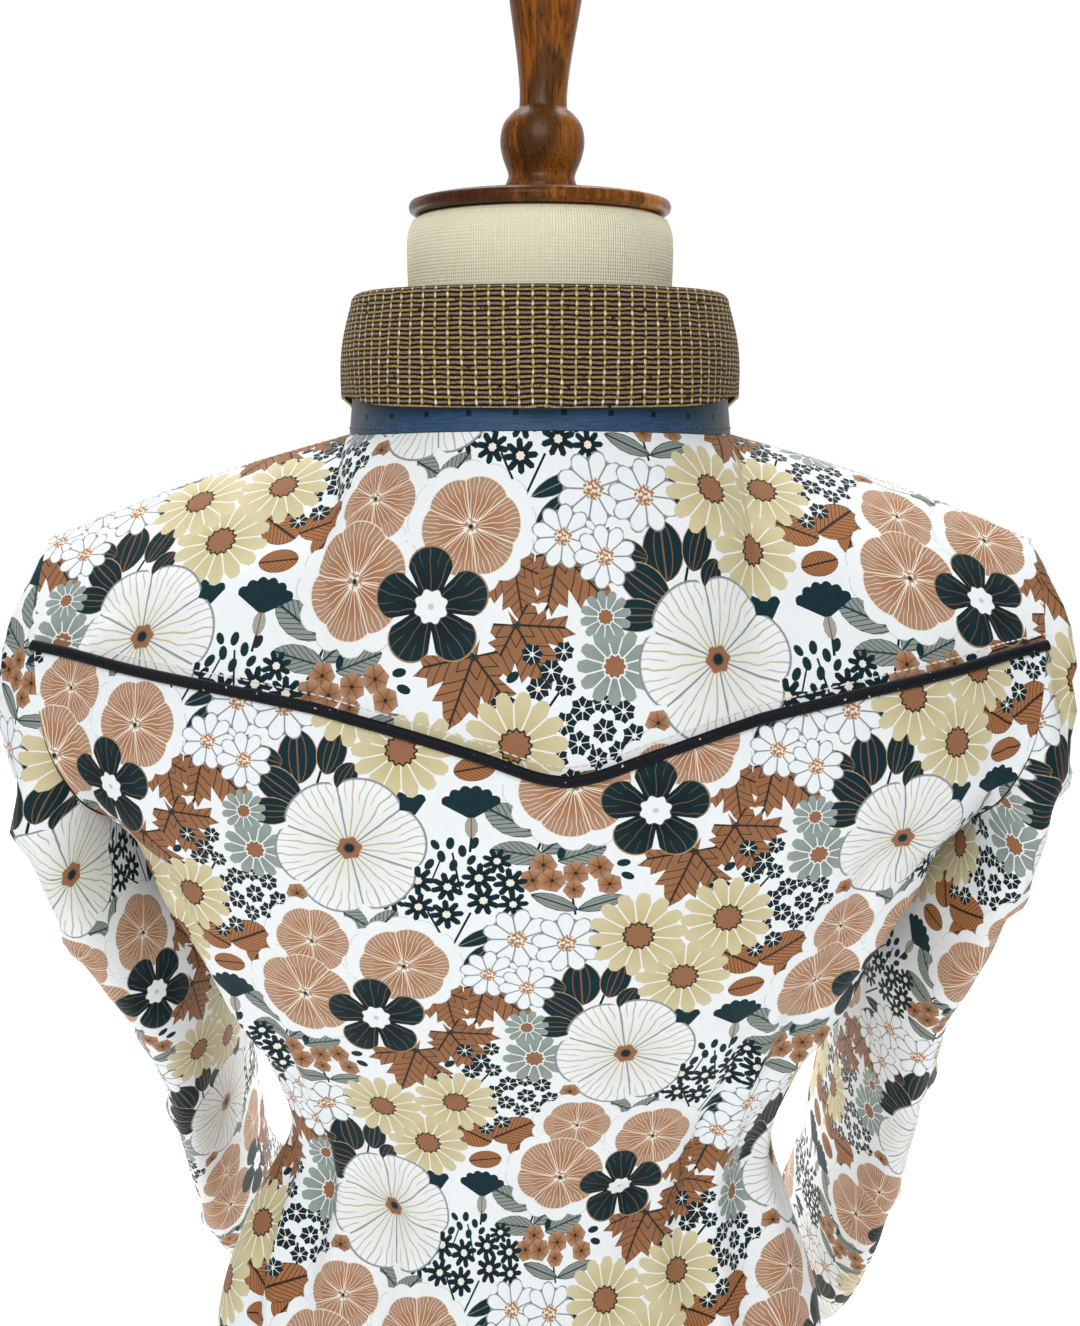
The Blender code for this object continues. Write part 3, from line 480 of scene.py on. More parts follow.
def leaf_points(share, down, depth=0.0):
    """Points of the collar leaf. down runs from -1 to 0 round the roll, and from 0 to 1 down the fall."""
    half_turn = np.abs(share)
    fold = fold_points(half_turn)
    outward = unit(fold * np.array((1, 1, 0)))
    centre = fold - outward * WALL / 2 - np.array((0, 0, ROLL_SINK))
    angle = (-np.minimum(down, 0) * ROLL_START)[..., None]
    arm = outward * np.cos(angle) + np.array((0, 0, 1.0)) * np.sin(angle)
    rolled = centre + arm * (ROLL_RADIUS - depth)
    start = centre + outward * ROLL_RADIUS
    edge = read_points(LEAF_EDGE, half_turn)
    share_down = np.maximum(down, 0)[..., None]
    bow = LEAF_BOW * np.sin(math.pi * share_down) - depth
    fallen = start + (edge - start) * share_down + outward * bow
    point = np.where((down < 0)[..., None], rolled, fallen)
    point[..., 0] = np.where(share < 0, -point[..., 0], point[..., 0])
    return point


# A piece of cloth on a fine grid: its outer face, its outward directions, and how far each point lies
# across and along in the flat.
Cloth = namedtuple("Cloth", "face normal across along")


def spread(low, high, count):
    return np.linspace(low, high, count + 1)


def grid_normals(face, outward):
    """Directions square to the grid, on the side of outward."""
    normal = unit(np.cross(np.gradient(face, axis=1), np.gradient(face, axis=0)))
    side = np.sign(np.sum(normal * outward))
    return normal * side


def arc(face, axis, start):
    """How far along its line each point lies, measured from one row or column."""
    steps = np.linalg.norm(np.diff(face, axis=axis), axis=-1)
    pad = [(0, 0), (0, 0)]
    pad[axis] = (1, 0)
    run = np.pad(np.cumsum(steps, axis=axis), pad)
    return run - np.take(run, [start], axis=axis)


def fold_lift(folds, across, along):
    """How far the creases lift the cloth. Each is a bowed ridge with a trough beside it."""
    lift = np.zeros_like(across)
    for x0, y0, x1, y1, bow, width, height in zip(*folds.values()):
        run = np.array((x1 - x0, y1 - y0))
        length = np.hypot(*run)
        share = ((across - x0) * run[0] + (along - y0) * run[1]) / length**2
        aside = ((across - x0) * run[1] - (along - y0) * run[0]) / length
        aside = aside - bow * 4 * share * (1 - share)
        uneven = 1 + 0.25 * np.sin(7 * share + 40 * x0)
        aside = aside / (width * uneven)
        taper = ease(-0.05, 0.3, share) * (1 - ease(0.6, 1.05, share))
        lift += height * taper * (np.exp(-aside * aside) - 0.7 * np.exp(-((aside - 1.5) ** 2)))
    return lift


def make_cloth(face, outward, level, middle, folds=None, along_start=None, lift=0.0, relax=None):
    """A piece of cloth whose flat sizes are measured from its level row and its middle column."""
    across, along = arc(face, 1, middle), arc(face, 0, level)
    if along_start is not None:
        along = along + along_start
    if relax is not None:
        across, along = relax_flat(face, across, along, level, middle, *relax)
    normal = grid_normals(face, outward)
    rise = np.full_like(across, lift)
    if folds is not None:
        rise += fold_lift(folds, across, along)
    face = face + normal * rise[..., None]
    return Cloth(face, grid_normals(face, normal), across, along)


def cell_values(grid, column, row):
    """Values of a grid at fractional columns and rows, and their changes across and along a cell."""
    rows, columns = grid.shape[:2]
    left = np.clip(np.floor(column).astype(int), 0, columns - 2)
    low = np.clip(np.floor(row).astype(int), 0, rows - 2)
    part = (column - left)[:, None]
    rise = (row - low)[:, None]
    a, b = grid[low, left], grid[low, left + 1]
    c, d = grid[low + 1, left], grid[low + 1, left + 1]
    value = (a * (1 - part) + b * part) * (1 - rise) + (c * (1 - part) + d * part) * rise
    return value, (b - a) * (1 - rise) + (d - c) * rise, (c - a) * (1 - part) + (d - b) * part


MISS_LIMIT = 0.0004
RELAX_SPEED = 1.6


def find_places(cloth, flat):
    """The fractional columns and rows of the cloth's grid that these flat points lie at."""
    sizes = np.stack((cloth.across, cloth.along), axis=-1)
    rows, columns = sizes.shape[:2]
    step = 2
    coarse = sizes[::step, ::step]
    tree = kdtree.KDTree(coarse.shape[0] * coarse.shape[1])
    for number, point in enumerate(coarse.reshape(-1, 2)):
        tree.insert((point[0], point[1], 0), number)
    tree.balance()
    nearest = np.array([tree.find((x, y, 0))[1] for x, y in flat])
    column = (nearest % coarse.shape[1]) * float(step)
    row = (nearest // coarse.shape[1]) * float(step)
    start_column, start_row = column, row
    for _ in range(12):
        value, right, up = cell_values(sizes, column, row)
        miss = flat - value
        turn = right[:, 0] * up[:, 1] - right[:, 1] * up[:, 0]
        turn = np.where(np.abs(turn) < 1e-12, 1e-12, turn)
        column = column + (miss[:, 0] * up[:, 1] - miss[:, 1] * up[:, 0]) / turn
        row = row + (miss[:, 1] * right[:, 0] - miss[:, 0] * right[:, 1]) / turn
        column, row = np.clip(column, 0, columns - 1), np.clip(row, 0, rows - 1)
    missed = np.abs(flat - cell_values(sizes, column, row)[0]).max(axis=1) > MISS_LIMIT
    return np.where(missed, start_column, column), np.where(missed, start_row, row)


def relax_flat(face, across, along, level, middle, step, rounds):
    """Evens out the flat cloth, so that its lengths both ways and aslant are near those of the form."""
    flat = np.stack((across, along), axis=-1)
    coarse, form = flat[::step, ::step].copy(), face[::step, ::step]
    whole, low, high = slice(None), slice(0, -1), slice(1, None)
    pairs = (
        ((low, whole), (high, whole)), ((whole, low), (whole, high)),
        ((low, low), (high, high)), ((high, low), (low, high)),
    )
    lengths = [np.linalg.norm(form[end] - form[start], axis=-1) for start, end in pairs]
    tally = np.zeros((*coarse.shape[:2], 1))
    for start, end in pairs:
        tally[start] += 1
        tally[end] += 1
    for _ in range(rounds):
        move = np.zeros_like(coarse)
        for (start, end), length in zip(pairs, lengths):
            run = coarse[end] - coarse[start]
            far = np.linalg.norm(run, axis=-1)
            pull = run * ((far - length) / far / 2)[..., None]
            move[start] += pull
            move[end] -= pull
        coarse += RELAX_SPEED * move / tally
    shift = coarse - flat[::step, ::step]
    shift -= shift[level // step, middle // step]
    row, column = (part.ravel() / step for part in np.indices(across.shape))
    flat += cell_values(shift, column, row)[0].reshape(flat.shape)
    return flat[..., 0], flat[..., 1]


def border(rows, columns):
    """The grid's border, once round, as (row, column)."""
    bottom = [(0, column) for column in range(columns - 1)]
    right = [(row, columns - 1) for row in range(rows - 1)]
    top = [(rows - 1, column) for column in range(columns - 1, 0, -1)]
    left = [(row, 0) for row in range(rows - 1, 0, -1)]
    return np.array(bottom + right + top + left)


def turned_area(outline):
    """The area inside an outline, negative if it runs clockwise."""
    x, y = outline.T
    return np.sum(x * np.roll(y, -1) - y * np.roll(x, -1)) / 2


def wavy_flower(petals, notch, power, per_petal):
    """A flower's outline: its radius dips between petals."""
    angle = np.arange(petals * per_petal) * 2 * math.pi / (petals * per_petal)
    radius = 1 - notch + notch * np.abs(np.cos(petals * angle / 2)) ** power
    return np.stack((np.cos(angle) * radius, np.sin(angle) * radius), axis=-1)


def leaf_outline(power, count):
    """A leaf's outline, pointed at both ends and one wide."""
    x = -np.cos(spread(0, math.pi, count))
    y = np.maximum(1 - x * x, 0) ** power
    upper = np.stack((x, y), axis=-1)[::-1]
    lower = np.stack((x, -y), axis=-1)[1:-1]
    return np.concatenate((lower, upper))


def fan_outline(lobes):
    """A carnation's head: a scalloped fan that opens upward from its foot."""
    angle = spread(math.radians(28), math.radians(152), lobes * 4)
    radius = 0.9 + 0.1 * np.abs(np.sin(spread(0, lobes * math.pi, lobes * 4)))
    rim = np.stack((np.cos(angle) * radius, np.sin(angle) * radius), axis=-1)
    return np.concatenate((np.array(((-0.10, 0.0), (0.10, 0.0))), rim))


# Each flower's petals, how far its outline dips between them, how sharply, and its points to a petal.
PETALS = {
    "brown_flower": (6, 0.34, 0.7, 3),
    "star_flower": (7, 0.55, 0.6, 3),
    "umbel_star": (8, 0.52, 0.8, 4),
    "halo": (13, 0.10, 0.6, 4),
    "peony": (6, 0.13, 0.4, 9),
    "grey_daisy": (12, 0.26, 0.4, 4),
    "white_daisy": (9, 0.42, 0.5, 5),
    "cream_daisy": (14, 0.24, 0.5, 4),
    "hibiscus": (5, 0.62, 0.35, 14),
    "poppy": (6, 0.16, 0.4, 10),
}
# Half of a maple leaf, from its stalk round to its tip, pointing along x.
MAPLE_HALF = (
    (-0.70, 0.00), (-0.42, 0.05), (-0.62, 0.36), (-0.50, 0.50), (-0.34, 0.46), (-0.36, 0.64), (-0.18, 0.56),
    (-0.04, 0.96), (0.12, 0.80), (0.34, 0.92), (0.28, 0.66), (0.44, 0.60), (0.22, 0.36), (0.62, 0.44),
    (0.56, 0.26), (0.78, 0.17), (1.00, 0.00),
)


def maple_outline():
    """A maple leaf with toothed lobes."""
    half = np.array(MAPLE_HALF)
    return np.concatenate((half * (1, -1), half[-2:0:-1]))


# Each figure's outline at a size of one, bottom layer first.
OUTLINES = {
    "stem": np.array(((-1.0, -1.0), (1.0, -1.0), (1.0, 1.0), (-1.0, 1.0))),
    "grey_leaf": leaf_outline(0.75, 8),
    "brown_oval": leaf_outline(0.55, 10),
    "teal_leaf": leaf_outline(0.62, 9),
    "striped_leaf": leaf_outline(0.8, 7),
    "teal_lens": leaf_outline(0.8, 7),
    "maple": maple_outline(),
    "brown_flower": wavy_flower(*PETALS["brown_flower"]),
    "star_flower": wavy_flower(*PETALS["star_flower"]),
    "bud": leaf_outline(0.5, 5),
    "umbel_star": wavy_flower(*PETALS["umbel_star"]),
    "calyx": leaf_outline(0.6, 5),
    "carnation": fan_outline(6),
}
for flower in ("halo", "peony", "grey_daisy", "white_daisy", "cream_daisy", "hibiscus", "poppy"):
    OUTLINES[flower] = wavy_flower(*PETALS[flower])
INKS = ["ground"] + list(OUTLINES)

# The print's repeat in centimetres: figures about a poppy at (0, 0), each with its middle, its half
# sizes across and along (one where they are the same), and its turn in degrees.
REPEAT_WIDE = 19.4
REPEAT_DROP = 8.8

# How much larger than charted the figures are drawn.
FIGURE_GROWTH = 1.09
GROWTH = {"stem": 1.0, "star_flower": 0.98, "umbel_star": 1.04, "bud": 1.2}
FIGURES = {
    "poppy": [(0, 0, 2.45, 10)],
    "teal_leaf": [
        (-1.8, 3.3, 0.9, 0.66, 95), (-0.6, 3.5, 0.78, 0.5, 75), (-3.0, 3.2, 0.64, 0.42, 165),
        (-2.45, 2.25, 0.88, 0.55, 145), (-2.75, 1.3, 0.8, 0.48, 180), (-0.1, 2.65, 0.5, 0.38, 60),
    ],
    "cream_daisy": [(1.8, 3.6, 1.6, 0), (0.1, 5.4, 1.6, 8), (3.2, 6.1, 1.55, 3)],
    "carnation": [(2.0, 1.0, 1.05, 25), (4.1, 1.15, 1.1, 0)],
    "calyx": [(2.16, 0.66, 0.36, 0.2, 112), (4.1, 0.8, 0.38, 0.2, 90)],
    "grey_leaf": [
        (5.4, 1.05, 0.95, 0.52, 150), (7.2, 0.45, 0.9, 0.5, 40), (5.65, -0.2, 0.85, 0.42, 170),
        (7.8, -0.2, 0.8, 0.4, 20), (-0.2, -2.7, 0.8, 0.42, -30), (1.0, -3.1, 0.8, 0.42, 50),
    ],
    "hibiscus": [(10.2, 1.5, 1.75, 20)],
    "halo": [(-1.6, -3.9, 1.75, 0), (1.7, -4.8, 1.95, 9), (-2.2, -6.5, 2.2, 20)],
    "peony": [(-1.6, -3.9, 1.3, 0), (1.7, -4.8, 1.5, 9), (-2.2, -6.5, 1.75, 20)],
    "maple": [
        (12.9, 2.35, 1.25, -80), (14.7, 2.8, 1.6, -45), (13.2, 0.45, 1.5, -60),
        (11.35, -0.6, 1.6, -110),
    ],
    "grey_daisy": [(-3.4, -0.25, 1.1, 0), (-3.7, 1.25, 0.75, 12)],
    "star_flower": [
        (-3.7, -2.2, 0.42, 0), (-3.1, -1.6, 0.4, 20), (-4.4, -1.55, 0.42, 40),
        (-3.75, -1.35, 0.36, 15), (-2.75, -2.35, 0.42, 50), (-3.2, -2.85, 0.4, 9),
        (-4.5, -2.6, 0.42, 33), (-4.95, -2.0, 0.4, 60), (-3.9, -3.05, 0.36, 27),
        (-5.4, -0.4, 0.4, 10), (-4.95, -0.85, 0.36, 45), (-5.8, -0.95, 0.4, 22),
        (-5.0, 0.2, 0.34, 66), (-6.0, 0.1, 0.36, 5), (-6.9, -1.4, 0.42, 18),
        (-5.2, -3.1, 0.42, 36), (-5.8, -3.6, 0.38, 12), (-4.7, -3.75, 0.4, 51),
        (-5.35, -4.15, 0.36, 25), (-6.2, -2.95, 0.34, 70),
    ],
    "brown_flower": [
        (6.5, -0.65, 0.45, 0), (6.15, -1.25, 0.45, 20), (6.8, -1.25, 0.45, 50),
        (7.6, -0.95, 0.45, 30), (8.4, -0.7, 0.45, 12), (8.75, -1.35, 0.42, 40),
        (7.55, -1.6, 0.36, 8), (-2.0, -1.95, 0.4, 8),
    ],
    "striped_leaf": [
        (6.9, -2.1, 0.8, 0.27, 160), (8.5, -2.1, 0.8, 0.27, 20), (-5.8, -2.1, 0.5, 0.2, 70),
    ],
    "umbel_star": [
        (2.3, -1.25, 0.58, 0), (3.3, -1.5, 0.58, 15), (4.35, -1.15, 0.58, 40),
        (5.4, -1.35, 0.58, 8), (4.95, -0.5, 0.5, 25), (2.3, -2.3, 0.55, 33),
        (3.25, -2.6, 0.58, 5), (4.5, -2.05, 0.58, 20), (5.5, -2.2, 0.52, 50),
        (1.4, -2.0, 0.5, 12),
    ],
    "bud": [
        (2.7, -0.6, 0.2, 0.12, 60), (3.1, -0.3, 0.2, 0.12, 100), (3.5, -0.65, 0.2, 0.12, 80),
        (3.8, -0.1, 0.2, 0.12, 95), (4.2, 0.2, 0.2, 0.12, 70), (2.9, 0.15, 0.18, 0.11, 120),
        (3.4, 0.2, 0.2, 0.12, 85), (4.1, -0.45, 0.18, 0.11, 60), (-6.6, -0.6, 0.2, 0.12, 40),
        (9.2, -0.5, 0.2, 0.12, 10), (9.35, -1.0, 0.2, 0.12, 340), (7.1, -0.2, 0.2, 0.12, 80),
    ],
    "teal_lens": [
        (4.45, -3.5, 0.85, 0.28, 25), (4.3, -4.3, 0.7, 0.26, 45), (-1.2, 5.1, 0.6, 0.24, 120),
    ],
    "white_daisy": [
        (5.65, -3.6, 1.15, 0), (7.35, -3.75, 1.15, 14), (4.65, -5.1, 0.95, 5),
        (6.0, -5.7, 0.95, 21),
    ],
    "brown_oval": [
        (3.8, 4.3, 0.78, 0.62, -30), (5.45, 4.6, 0.92, 0.66, 30), (4.25, 2.95, 0.66, 0.42, 10),
        (-3.9, -4.9, 0.7, 0.5, 60),
    ],
    "stem": [
        (3.4, -4.6, 0.045, 0.85, 5), (2.95, -3.2, 0.04, 0.8, 25), (3.75, -3.2, 0.04, 0.75, -25),
        (6.4, 0.2, 0.045, 1.1, -20), (-2.0, 2.5, 0.045, 1.1, 20), (-1.0, 2.7, 0.045, 0.9, -15),
        (-3.9, -3.6, 0.04, 1.0, 10), (-5.6, -1.7, 0.04, 1.0, -35), (2.2, 0.2, 0.045, 0.6, 20),
        (4.1, 0.4, 0.045, 0.55, -5), (7.5, -1.9, 0.04, 0.7, 10), (3.6, -0.9, 0.035, 0.75, 10),
        (2.9, -0.9, 0.03, 0.5, -20), (12.4, -0.4, 0.05, 0.9, -60), (13.9, 1.6, 0.05, 0.9, -30),
    ],
}


def lay_figures(low, high, shift, scale):
    """The print's figures over a stretch of cloth, bottom layer first, in metres.

    shift is where one poppy's middle lies. Each row holds ink, middle, half sizes and turn.
    """
    to_metres = scale / 100
    shift = np.array(shift) / to_metres
    low, high = np.array(low) / to_metres, np.array(high) / to_metres
    laid = []
    for down in range(-12, 13):
        for over in range(-8, 9):
            corner = shift + (over * REPEAT_WIDE + (down % 2) * REPEAT_WIDE / 2, -down * REPEAT_DROP)
            for ink, name in enumerate(INKS[1:], 1):
                grown = GROWTH.get(name, FIGURE_GROWTH)
                for x, y, *half, turn in FIGURES[name]:
                    middle = corner + (x, y)
                    half = np.array((half[0], half[-1])) * grown
                    if (middle + half.max() > low).all() and (middle - half.max() < high).all():
                        laid.append((ink, *middle * to_metres, *half * to_metres, math.radians(turn)))
    return np.array(sorted(laid, key=lambda row: row[0]))


def turned_outline(row):
    """A laid figure's outline in the flat."""
    ink, x, y, wide, tall, turn = row
    points = OUTLINES[INKS[int(ink)]] * (wide, tall)
    cos, sin = math.cos(turn), math.sin(turn)
    return np.stack(
        (x + points[:, 0] * cos - points[:, 1] * sin, y + points[:, 0] * sin + points[:, 1] * cos), axis=-1
    )


def cut_print(cloth, shift, scale, pitch):
    """Triangles over the flat cloth that follow the outlines of the print.

    Gives the flat points, their places on the grid, the triangles and each one's figure (-1 for ground).
    """
    rows, columns = cloth.across.shape
    sizes = np.stack((cloth.across, cloth.along), axis=-1)
    edge = border(rows, columns)
    outline = sizes[edge[:, 0], edge[:, 1]]
    if turned_area(outline) < 0:
        edge, outline = edge[::-1], outline[::-1]
    laid = lay_figures(outline.min(axis=0), outline.max(axis=0), shift, scale)
    points = [outline]
    places = [edge[:, ::-1].astype(float)]
    faces = [list(range(len(outline)))]
    total = len(outline)
    for row in laid:
        figure = turned_outline(row)
        points.append(figure)
        places.append(np.full_like(figure, -1))
        faces.append(list(range(total, total + len(figure))))
        total += len(figure)
    inner_rows = np.arange(pitch, rows - 1 - pitch / 2, pitch).astype(int)
    inner_columns = np.arange(pitch, columns - 1 - pitch / 2, pitch).astype(int)
    mesh_rows, mesh_columns = (part.ravel() for part in np.meshgrid(inner_rows, inner_columns, indexing="ij"))
    points.append(sizes[mesh_rows, mesh_columns])
    places.append(np.stack((mesh_columns, mesh_rows), axis=-1).astype(float))
    points = np.concatenate(points)
    places = np.concatenate(places)
    found, _edges, triangles, source, _source_edges, covers = delaunay_2d_cdt(
        [Vector(point) for point in points], [], faces, 0, 1e-5, True
    )
    flat = np.array([tuple(point) for point in found])
    known = np.array([next((k for k in group if places[k, 0] >= 0), -1) for group in source])
    column, row = find_places(cloth, flat)
    column = np.where(known >= 0, places[known, 0], column)
    row = np.where(known >= 0, places[known, 1], row)
    kept = [number for number, cover in enumerate(covers) if 0 in cover]
    triangles = np.array([triangles[number] for number in kept])
    figure = np.array([max(covers[number]) - 1 for number in kept])
    used, triangles = np.unique(triangles, return_inverse=True)
    return flat[used], column[used], row[used], triangles.reshape(-1, 3), figure, laid


def figure_places(flat, triangles, figure, laid):
    """Each triangle corner's place in its figure, where the figure's outline has a size of one."""
    corners = flat[triangles]
    row = laid[np.maximum(figure, 0)][:, None, :]
    offset = corners - row[..., 1:3]
    cos, sin = np.cos(row[..., 5]), np.sin(row[..., 5])
    x = (offset[..., 0] * cos + offset[..., 1] * sin) / row[..., 3]
    y = (offset[..., 1] * cos - offset[..., 0] * sin) / row[..., 4]
    local = np.stack((x, y), axis=-1)
    return np.where((figure >= 0)[:, None, None], local, corners * 100)


def add_object(name, data):
    """An object in the scene for this mesh, light or camera."""
    thing = bpy.data.objects.new(name, data)
    bpy.context.scene.collection.objects.link(thing)
    return thing


def build_shell(name, face, normal, triangles, inks, layers, materials, wall=WALL):
    """A closed shell: a printed outer side, a plain inner side and a rim round its free edges."""
    count = len(face)
    inner = face - normal * wall
    corner = face[triangles]
    facing = np.cross(corner[:, 1] - corner[:, 0], corner[:, 2] - corner[:, 0])
    if np.sum(facing * normal[triangles[:, 0]]) < 0:
        triangles = triangles[:, ::-1]
        layers = {key: value[:, ::-1] for key, value in layers.items()}
    edges = np.concatenate((triangles[:, (0, 1)], triangles[:, (1, 2)], triangles[:, (2, 0)]))
    ordered = np.sort(edges, axis=1)
    keys = ordered[:, 0].astype(np.int64) * count + ordered[:, 1]
    _unique, first, tally = np.unique(keys, return_index=True, return_counts=True)
    rim = edges[first[tally == 1]]
    quads = np.stack((rim[:, 1], rim[:, 0], rim[:, 0] + count, rim[:, 1] + count), axis=-1)
    loops = np.concatenate((triangles.ravel(), (triangles[:, ::-1] + count).ravel(), quads.ravel()))
    faces = len(triangles)
    sizes = np.concatenate((np.full(2 * faces, 3), np.full(len(quads), 4)))
    starts = np.concatenate(([0], np.cumsum(sizes)[:-1]))
    mesh = bpy.data.meshes.new(name)
    mesh.vertices.add(2 * count)
    mesh.vertices.foreach_set("co", np.concatenate((face, inner)).astype(np.float32).ravel())
    mesh.loops.add(len(loops))
    mesh.loops.foreach_set("vertex_index", loops.astype(np.int32))
    mesh.polygons.add(len(sizes))
    mesh.polygons.foreach_set("loop_start", starts.astype(np.int32))
    mesh.polygons.foreach_set("material_index", np.concatenate(
        (inks, np.full(faces, len(materials) - 1), np.zeros(len(quads)))).astype(np.int32))
    mesh.update(calc_edges=True)
    for key, value in layers.items():
        layer = mesh.uv_layers.new(name=key)
        flipped = value[:, ::-1]
        padding = np.zeros((len(quads) * 4, 2))
        layer.data.foreach_set("uv", np.concatenate(
            (value.reshape(-1, 2), flipped.reshape(-1, 2), padding)).astype(np.float32).ravel())
    for material in materials:
        mesh.materials.append(material)
    both = np.concatenate((normal, -normal))
    directions = both[loops]
    points = np.concatenate((face, inner))[quads]
    flat_side = unit(np.cross(points[:, 1] - points[:, 0], points[:, 3] - points[:, 0]))
    directions[6 * faces:] = np.repeat(flat_side, 4, axis=0)
    mesh.validate(clean_customdata=False)
    mesh.normals_split_custom_set(directions.astype(np.float32))
    return add_object(name, mesh)


def finish_piece(thing, slot, *nodes):
    """Puts a piece on the one body and hides the solids it stands for; its slot is not used."""
    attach(thing, "root")
    if nodes:
        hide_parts(*nodes)
    return thing


def printed_piece(name, cloth, shift, node, pitch=2, scale=1.0):
    """A piece of the printed cotton."""
    flat, column, row, triangles, figure, laid = cut_print(cloth, shift, scale, pitch)
    stacked = np.concatenate((cloth.face, cloth.normal), axis=-1)
    value = cell_values(stacked, column, row)[0]
    inks = np.where(figure >= 0, laid[np.maximum(figure, 0), 0], 0)
    layers = {"figure": figure_places(flat, triangles, figure, laid), "cloth": flat[triangles]}
    materials = [bpy.data.materials["print_" + ink] for ink in INKS] + [bpy.data.materials["print_back"]]
    thing = build_shell(
        name, value[:, :3], unit(value[:, 3:]), triangles, inks.astype(int), layers, materials
    )
    finish_piece(thing, "printed_cotton", node)
    return thing


def plain_piece(name, cloth, material, slot, node, wall=WALL):
    """A piece of unprinted cloth on its own grid."""
    rows, columns = cloth.across.shape
    index = np.arange(rows * columns).reshape(rows, columns)
    a, b, c, d = index[:-1, :-1], index[:-1, 1:], index[1:, 1:], index[1:, :-1]
    triangles = np.concatenate(
        (np.stack((a, b, c), axis=-1).reshape(-1, 3), np.stack((a, c, d), axis=-1).reshape(-1, 3))
    )
    flat = np.stack((cloth.across, cloth.along), axis=-1).reshape(-1, 2)
    thing = build_shell(
        name,
        cloth.face.reshape(-1, 3),
        cloth.normal.reshape(-1, 3),
        triangles,
        np.zeros(len(triangles)),
        {"cloth": flat[triangles]},
        [material, material],
        wall,
    )
    finish_piece(thing, slot, node)
    return thing


def tint(code):
    """A colour from its screen code, in the linear values that shaders use."""
    parts = [int(code[place:place + 2], 16) / 255 for place in (0, 2, 4)]
    return tuple(part / 12.92 if part <= 0.04045 else ((part + 0.055) / 1.055) ** 2.4 for part in parts)


class Mixer:
    """One material's nodes, made with short calls. A value is a socket or a plain number."""

    def __init__(self, name, roughness, **sockets):
        self.material = bpy.data.materials.new(name)
        self.material.use_nodes = True
        self.tree = self.material.node_tree
        self.shader = self.tree.nodes["Principled BSDF"]
        self.shader.inputs["Roughness"].default_value = roughness
        for key, value in sockets.items():
            self.shader.inputs[key.replace("_", " ")].default_value = value

    def node(self, kind, **settings):
        made = self.tree.nodes.new(kind)
        for key, value in settings.items():
            setattr(made, key, value)
        return made

    def put(self, socket, value):
        if isinstance(value, bpy.types.NodeSocket):
            self.tree.links.new(value, socket)
        elif isinstance(value, tuple) and len(value) == 3 and socket.type == "RGBA":
            socket.default_value = (*value, 1)
        else:
            socket.default_value = value

    def math(self, operation, first, second=0.0):
        made = self.node("ShaderNodeMath", operation=operation)
        self.put(made.inputs[0], first)
        self.put(made.inputs[1], second)
        return made.outputs[0]

    def plus(self, first, second):
        return self.math("ADD", first, second)

    def less(self, first, second):
        return self.math("SUBTRACT", first, second)

    def times(self, first, second):
        return self.math("MULTIPLY", first, second)

    def above(self, value, level, soft):
        """0 well below the level, 1 well above it."""
        made = self.node("ShaderNodeMapRange", interpolation_type="SMOOTHSTEP")
        self.put(made.inputs["Value"], value)
        self.put(made.inputs["From Min"], level - soft)
        self.put(made.inputs["From Max"], level + soft)
        return made.outputs["Result"]

    def blend(self, share, first, second):
        """The first colour where the share is 0, the second where it is 1."""
        made = self.node("ShaderNodeMix", data_type="RGBA")
        self.put(made.inputs[0], share)
        self.put(made.inputs[6], first)
        self.put(made.inputs[7], second)
        return made.outputs[2]

    def place(self, name):
        """x and y of a UV map."""
        apart = self.node("ShaderNodeSeparateXYZ")
        self.tree.links.new(self.node("ShaderNodeUVMap", uv_map=name).outputs[0], apart.inputs[0])
        return apart.outputs[0], apart.outputs[1]

    def noise(self, scale, detail=2.0, vector=None, output="Fac", kind="ShaderNodeTexNoise", **settings):
        made = self.node(kind, **settings)
        made.inputs["Scale"].default_value = scale
        if "Detail" in made.inputs:
            made.inputs["Detail"].default_value = detail
        if vector is None:
            vector = self.node("ShaderNodeTexCoord").outputs["Object"]
        self.tree.links.new(vector, made.inputs["Vector"])
        return made.outputs[output]

    def join(self, x, y, z=0.0):
        made = self.node("ShaderNodeCombineXYZ")
        for socket, value in zip(made.inputs, (x, y, z)):
            self.put(socket, value)
        return made.outputs[0]

    def bump(self, height, distance, strength=1.0, under=None):
        made = self.node("ShaderNodeBump")
        made.inputs["Distance"].default_value = distance
        made.inputs["Strength"].default_value = strength
        self.tree.links.new(height, made.inputs["Height"])
        if under is not None:
            self.tree.links.new(under, made.inputs["Normal"])
        return made.outputs[0]

    def finish(self, colour, normal=None, **sockets):
        self.put(self.shader.inputs["Base Color"], colour)
        if normal is not None:
            self.put(self.shader.inputs["Normal"], normal)
        for key, value in sockets.items():
            self.put(self.shader.inputs[key.replace("_", " ")], value)
        return self.material


THREAD_PITCH = 0.00055
WEAVE_DEPTH = 0.00004


def weave(mix, across, along):
    """Height of a plain weave over cloth measured in metres."""
    warp = mix.math("SINE", mix.times(across, 2 * math.pi / THREAD_PITCH))
    weft = mix.math("SINE", mix.times(along, 2 * math.pi / THREAD_PITCH))
    return mix.times(warp, weft)


def sateen(name):
    """The printed cotton's shared finish: a fine weave and a slight crumple."""
    mix = Mixer(name, 0.6, Specular_IOR_Level=0.12)
    across, along = mix.place("cloth")
    crumple = mix.noise(34.0, 3.0, mix.join(across, along))
    coarse = mix.bump(crumple, 0.0022, 0.55)
    return mix, mix.bump(weave(mix, across, along), WEAVE_DEPTH, 0.6, coarse)


